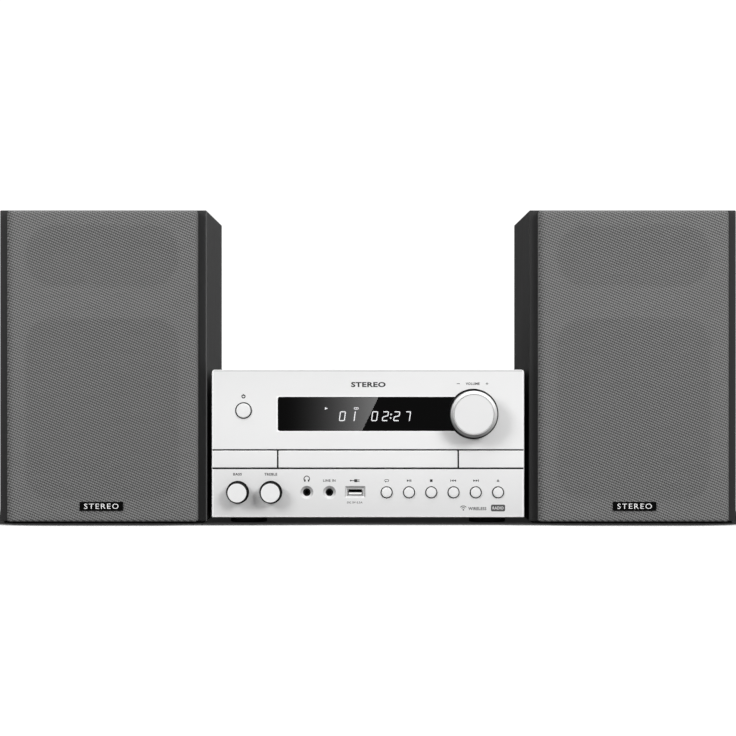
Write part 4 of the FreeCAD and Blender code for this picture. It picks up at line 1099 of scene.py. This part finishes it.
# stroke path (across, up) and whether it closes
GLYPHS = {
    "0": ([(0, 0), (DIGIT_WIDTH, 0), (DIGIT_WIDTH, DIGIT_HEIGHT), (0, DIGIT_HEIGHT)], True),
    "2": ([(0.1, DIGIT_HEIGHT), (DIGIT_WIDTH, DIGIT_HEIGHT), (DIGIT_WIDTH, DIGIT_HEIGHT * 0.55),
           (0, DIGIT_HEIGHT * 0.42), (0, 0), (DIGIT_WIDTH - 0.3, 0)], False),
    "7": ([(0.2, DIGIT_HEIGHT), (DIGIT_WIDTH - 0.8, DIGIT_HEIGHT), (DIGIT_WIDTH - 0.8, 0.0)],
          False),
    "1": ([(0, 0), (0, DIGIT_HEIGHT * 0.98)], False),
}


def rounded(points, closed, steps=5):
    """replaces each corner of a path by a short curve"""
    path = []
    n = len(points)
    for i in range(n):
        corner = Vector(points[i])
        if not closed and i in (0, n - 1):
            path.append(corner)
            continue
        before, after = Vector(points[i - 1]), Vector(points[(i + 1) % n])
        reach = min(CORNER, (before - corner).length * 0.49, (after - corner).length * 0.49)
        start = corner + (before - corner).normalized() * reach
        end = corner + (after - corner).normalized() * reach
        for q in range(steps + 1):
            t = q / steps
            path.append(start * (1 - t) ** 2 + corner * 2 * t * (1 - t) + end * t ** 2)
    return path


def round_cap(end, direction):
    heading = math.atan2(direction.y, direction.x)
    return [on_circle(end, STROKE / 2, heading + math.radians(turn))
            for turn in (60, 30, 0, -30, -60)]


def digit(shape, character, x):
    """slanted pen stroke with round ends"""
    points, closed = GLYPHS[character]
    path = [Vector((x + across + SLANT * up, DIGIT_BASE + up))
            for across, up in rounded(points, closed)]
    if closed:
        shape.ribbon(path, STROKE, closed=True)
        return
    steps = [(b - a).normalized() for a, b in zip(path, path[1:])]
    left, right = [], []
    for point, before, after in zip(path, steps[:1] + steps, steps + steps[-1:]):
        along = (before + after).normalized()
        across = Vector((-along.y, along.x))
        left.append(tuple(point + across * STROKE / 2))
        right.append(tuple(point - across * STROKE / 2))
    shape.poly(left + round_cap(path[-1], steps[-1]) + right[::-1]
               + round_cap(path[0], -steps[0]))


def display_segments():
    track = Shape(DISPLAY)
    digit(track, "0", -24.85)
    digit(track, "1", -12.05)
    track.make("segments_track", "glow")
    time = Shape(DISPLAY)
    for character, x in (("0", 3.05), ("2", 12.35), ("2", 22.15), ("7", 32.2)):
        digit(time, character, x)
    time.disc((19.95, 93.9), 0.68).disc((19.55, 90.8), 0.68).make("segments_time", "glow")
    playing = Shape(DISPLAY).poly([(-37.2, 97.95), (-34.7, 99.05), (-37.2, 100.15)])
    playing.make("segment_playing", "glow")
    text("segment_disc", "CD", -10.15, 98.0, 4.2, 2.0, "glow_dim", DISPLAY,
         bold=0.03, gap=1.05)


# ------------------------------------------------------------------ grille cloth
CLOTH_HALF, CLOTH_LOW, CLOTH_HIGH = 81.8, 2.0, 269.2
CLOTH_FRONT, CLOTH_BACK = -130.0, -120.95
CLOTH_FOLD = 2.0                   # radius of the folded edge
CLOTH_COLUMNS, CLOTH_ROWS = 82, 134
CLOTH_SAG = 0.34                   # over the frame's openings
# half width, low z, high z and corner radius of each opening in the frame
OPENINGS = ((65.7, 204.2, 257.1, 24.0), (65.7, 20.9, 176.9, 22.0))


def depth_inside(x, z, half_width, z0, z1, corner):
    """distance from the edge of a rounded rectangle, positive inside"""
    dx = abs(x) - (half_width - corner)
    dz = abs(z - (z0 + z1) / 2) - ((z1 - z0) / 2 - corner)
    return corner - (math.hypot(max(dx, 0.0), max(dz, 0.0)) + min(max(dx, dz), 0.0))


def smooth_step(t):
    t = min(1.0, max(0.0, t))
    return t * t * (3 - 2 * t)


def left_edge_shade(x):
    """1 at the cloth's left edge, falling to 0 a little way in"""
    return 1.0 - smooth_step((x + CLOTH_HALF - 0.5) / 6.5)


def cloth_border(index):
    """(vertex, outward x, outward z) round the flat face, with a fan at each corner"""
    columns, rows = CLOTH_COLUMNS, CLOTH_ROWS

    def fan(i, j, start):
        angles = [math.radians(start + 90 * q / 4) for q in range(5)]
        return [(index[i, j], math.cos(angle), math.sin(angle)) for angle in angles]

    ring = [(index[i, 0], 0.0, -1.0) for i in range(1, columns)]
    ring += fan(columns, 0, -90)
    ring += [(index[columns, j], 1.0, 0.0) for j in range(1, rows)]
    ring += fan(columns, rows, 0)
    ring += [(index[i, rows], 0.0, 1.0) for i in range(columns - 1, 0, -1)]
    ring += fan(0, rows, 90)
    ring += [(index[0, j], -1.0, 0.0) for j in range(rows - 1, 0, -1)]
    return ring + fan(0, 0, 180)


def cloth_mesh(middle):
    """vertices, faces and the two point attributes of one cloth"""
    fold = CLOTH_FOLD
    verts, hollow, lee, index = [], [], [], {}
    columns = np.linspace(-CLOTH_HALF + fold, CLOTH_HALF - fold, CLOTH_COLUMNS + 1)
    rows = np.linspace(CLOTH_LOW + fold, CLOTH_HIGH - fold, CLOTH_ROWS + 1)
    for j, z in enumerate(rows):
        for i, x in enumerate(columns):
            depth = max(depth_inside(x, z, *opening) for opening in OPENINGS)
            index[i, j] = len(verts)
            verts.append((middle + x, CLOTH_FRONT + CLOTH_SAG * smooth_step(depth / 26.0), z))
            # weight of the painted shade over the frame's openings
            hollow.append(smooth_step((depth + 2.2) / 4.4))
            lee.append(left_edge_shade(x))
    faces = [(index[i, j], index[i + 1, j], index[i + 1, j + 1], index[i, j + 1])
             for j in range(CLOTH_ROWS) for i in range(CLOTH_COLUMNS)]
    # (outward, y) of each loop: round the fold, back along the side, then tucked in
    loops = [(fold * math.sin(math.radians(angle)),
              CLOTH_FRONT + fold * (1 - math.cos(math.radians(angle))))
             for angle in (22.5, 45, 67.5, 90)]
    loops += [(fold, y) for y in np.linspace(CLOTH_FRONT + fold, CLOTH_BACK, 5)[1:]]
    loops += [(fold - 0.45, CLOTH_BACK), (fold - 0.75, CLOTH_BACK - 0.5)]
    ring = cloth_border(index)
    previous = [vertex for vertex, _, _ in ring]
    for outward, y in loops:
        current = []
        for vertex, out_x, out_z in ring:
            x, _, z = verts[vertex]
            current.append(len(verts))
            verts.append((x + out_x * outward, y, z + out_z * outward))
            hollow.append(0.0)
            lee.append(left_edge_shade(x - middle + out_x * outward))
        for q in range(len(ring)):
            w = (q + 1) % len(ring)
            # fan points share a vertex at first, which leaves triangles or nothing
            face = tuple(dict.fromkeys((previous[q], previous[w], current[w], current[q])))
            if len(face) >= 3:
                faces.append(face)
        previous = current
    return verts, faces, {"hollow": hollow, "lee": lee}


def grille(side, middle, material):
    name, piece, body = side + "_cloth", side + "_grille_cloth", side + "_grille"
    verts, faces, attributes = cloth_mesh(middle)
    mesh = bpy.data.meshes.new(name)
    mesh.from_pydata([tuple(c * MM for c in vert) for vert in verts], [], faces)
    for key, values in attributes.items():
        mesh.attributes.new(key, "FLOAT", "POINT").data.foreach_set("value", values)
    bm = bmesh.new()
    bm.from_mesh(mesh)
    bmesh.ops.recalc_face_normals(bm, faces=bm.faces)
    # the largest face is on the front and has to face -Y
    if max(bm.faces, key=lambda face: face.calc_area()).normal.y > 0:
        bmesh.ops.reverse_faces(bm, faces=bm.faces)
    bm.to_mesh(mesh)
    bm.free()
    smooth_faces(mesh)
    mesh.materials.append(MATS[material])
    obj = bpy.data.objects.new(name, mesh)
    scene.collection.objects.link(obj)
    solidify = obj.modifiers.new("thickness", "SOLIDIFY")
    solidify.thickness = 0.4 * MM
    solidify.offset = -1.0
    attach(obj, body)
    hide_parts(piece)
    text(side + "_badge_mark", "STEREO", middle + math.copysign(0.65, middle), 13.05, 29.6, 4.5,
         "ink_light", Place(-131.04, -130.98, body, side + "_grille_frame"), gap=1.22)


# ------------------------------------------------------------------ studio, in metres
def floor_material():
    """grey to the scene; the camera sees white with contact shadows drawn from occlusion"""
    mat = new_material("studio_floor")
    grey = mat.mix(mat.ramp(mat.noise(3.0, rough=0.55)), 0.25, 0.26)
    plain = mat.principled(grey, 0.8, specular=0.1)
    near, wide = (mat.node("AmbientOcclusion", {"Distance": distance}, samples=16).outputs["AO"]
                  for distance in (0.05, 0.16))
    # a grazing view gets a crisp contact line, a steep one a soft shadow
    facing = mat.node("LayerWeight", {"Blend": 0.5}).outputs["Facing"]
    graze = mat.ramp(facing, (0.80, 0.90))
    crisp = mat.ramp(near, (0.757, 0.904), to=(0.014, 1.08), smooth=True)
    soft = mat.product(mat.ramp(wide, (0.25, 0.95), to=(0.30, 1.08), smooth=True),
                       mat.ramp(near, (0.2, 0.75), to=(0.45, 1.0), smooth=True))
    lift = mat.emission(mat.total((1.0, mat.product(crisp, graze)),
                                  (1.0, mat.product(soft, mat.invert(graze)))))
    shade = mat.out("BsdfDiffuse", {"Color": 0.035})
    seen = mat.out("AddShader", {0: lift, 1: shade})
    return mat.done(mat.mix_shader(mat.camera_ray(), plain, seen))


def add_floor():
    bpy.ops.mesh.primitive_plane_add(size=1.0)
    floor = bpy.context.object
    floor.name = "floor"
    floor.scale = (40, 40, 1)
    floor.data.materials.append(floor_material())


def add_world():
    """dim grey to the scene, white to the camera"""
    scene.world = bpy.data.worlds.new("studio")
    sky = Shader(scene.world, "OutputWorld")
    ambient = sky.out("Background", {"Color": 0.226, "Strength": 1.0})
    backdrop = sky.out("Background", {"Color": 1.0, "Strength": 1.1})
    sky.done(sky.mix_shader(sky.camera_ray(), ambient, backdrop))


# name, place, the point it faces, size, watts
LIGHTS = (
    ("soft_left", (-1.30, -1.45, 0.92), (0, -0.12, 0.07), 0.75, 21.7),
    ("soft_right", (1.36, -1.98, 1.20), (0, -0.12, 0.07), 0.9, 38.3),
    ("soft_top", (0, -0.6, 2.4), (0, -0.1, 0), 2.6, 33.0),
    ("soft_back", (0.3, 2.1, 1.5), (0, 0.12, 0.12), 1.4, 30.0),
    ("soft_back_left", (-1.9, 1.2, 1.0), (-0.2, 0.1, 0.12), 1.0, 16.0),
)


def add_light(name, place, target, size, power):
    light = bpy.data.lights.new(name, "AREA")
    light.shape = "SQUARE"
    light.size = size
    light.energy = power
    obj = bpy.data.objects.new(name, light)
    scene.collection.objects.link(obj)
    obj.location = place
    obj.rotation_mode = "QUATERNION"
    obj.rotation_quaternion = (Vector(target) - Vector(place)).to_track_quat("-Z", "Y")
    obj.visible_camera = False


def card_material(distance):
    """grey ramp that ends on a slanted edge, laid out in the window's own X and Z"""
    mat = new_material("card")
    x, _, z = mat.split()
    spread = 1 + distance / CAMERA_DISTANCE        # reflected card size to window size
    window_x = mat.math("DIVIDE", x, spread)
    window_z = mat.math("DIVIDE", mat.math("ADD", z, CAMERA_HEIGHT * (spread - 1)), spread)
    edge = mat.total((0.487, window_z), plus=-0.04397)
    lit = mat.below(window_x, edge)
    fade = mat.math("POWER", mat.ramp(window_x, (-0.0742, 0.0090)), 2.05)
    level = mat.math("ADD", mat.product(fade, lit), 0.026)
    return mat.done(mat.emission(mat.product(level, 2.13)))


def add_window_card():
    """card in front of the unit that only glossy rays see"""
    distance = 1.0
    half_width, low, high = 0.16, 0.035, 0.118
    y = FRONT_Y * MM - distance
    mesh = bpy.data.meshes.new("window_card")
    mesh.from_pydata([(-half_width, y, low), (half_width, y, low), (half_width, y, high),
                      (-half_width, y, high)], [], [(0, 1, 2, 3)])
    card = bpy.data.objects.new("window_card", mesh)
    scene.collection.objects.link(card)
    mesh.materials.append(card_material(distance))
    for ray in ("camera", "diffuse", "shadow", "transmission", "volume_scatter"):
        setattr(card, "visible_" + ray, False)


def add_camera():
    lens = bpy.data.cameras.new("camera")
    lens.sensor_width = 36.0
    lens.lens = 124.7
    lens.clip_start = 0.05
    lens.clip_end = 100.0
    camera = bpy.data.objects.new("camera", lens)
    scene.collection.objects.link(camera)
    camera.location = (0.0, FRONT_Y * MM - CAMERA_DISTANCE, CAMERA_HEIGHT)
    camera.rotation_euler = (math.radians(90), 0, 0)
    scene.camera = camera


# ------------------------------------------------------------------ build
front_marks()
wireless_marks()
key_marks()
rear_marks()
speaker_hardware("left", -SPEAKER_X)
speaker_hardware("right", SPEAKER_X)
inner_parts()
display_segments()
grille("left", -SPEAKER_X, "cloth")
grille("right", SPEAKER_X, "cloth_r")
add_floor()
add_world()
for light in LIGHTS:
    add_light(*light)
add_window_card()
add_camera()
scene.view_settings.view_transform = "Standard"
scene.view_settings.look = "None"
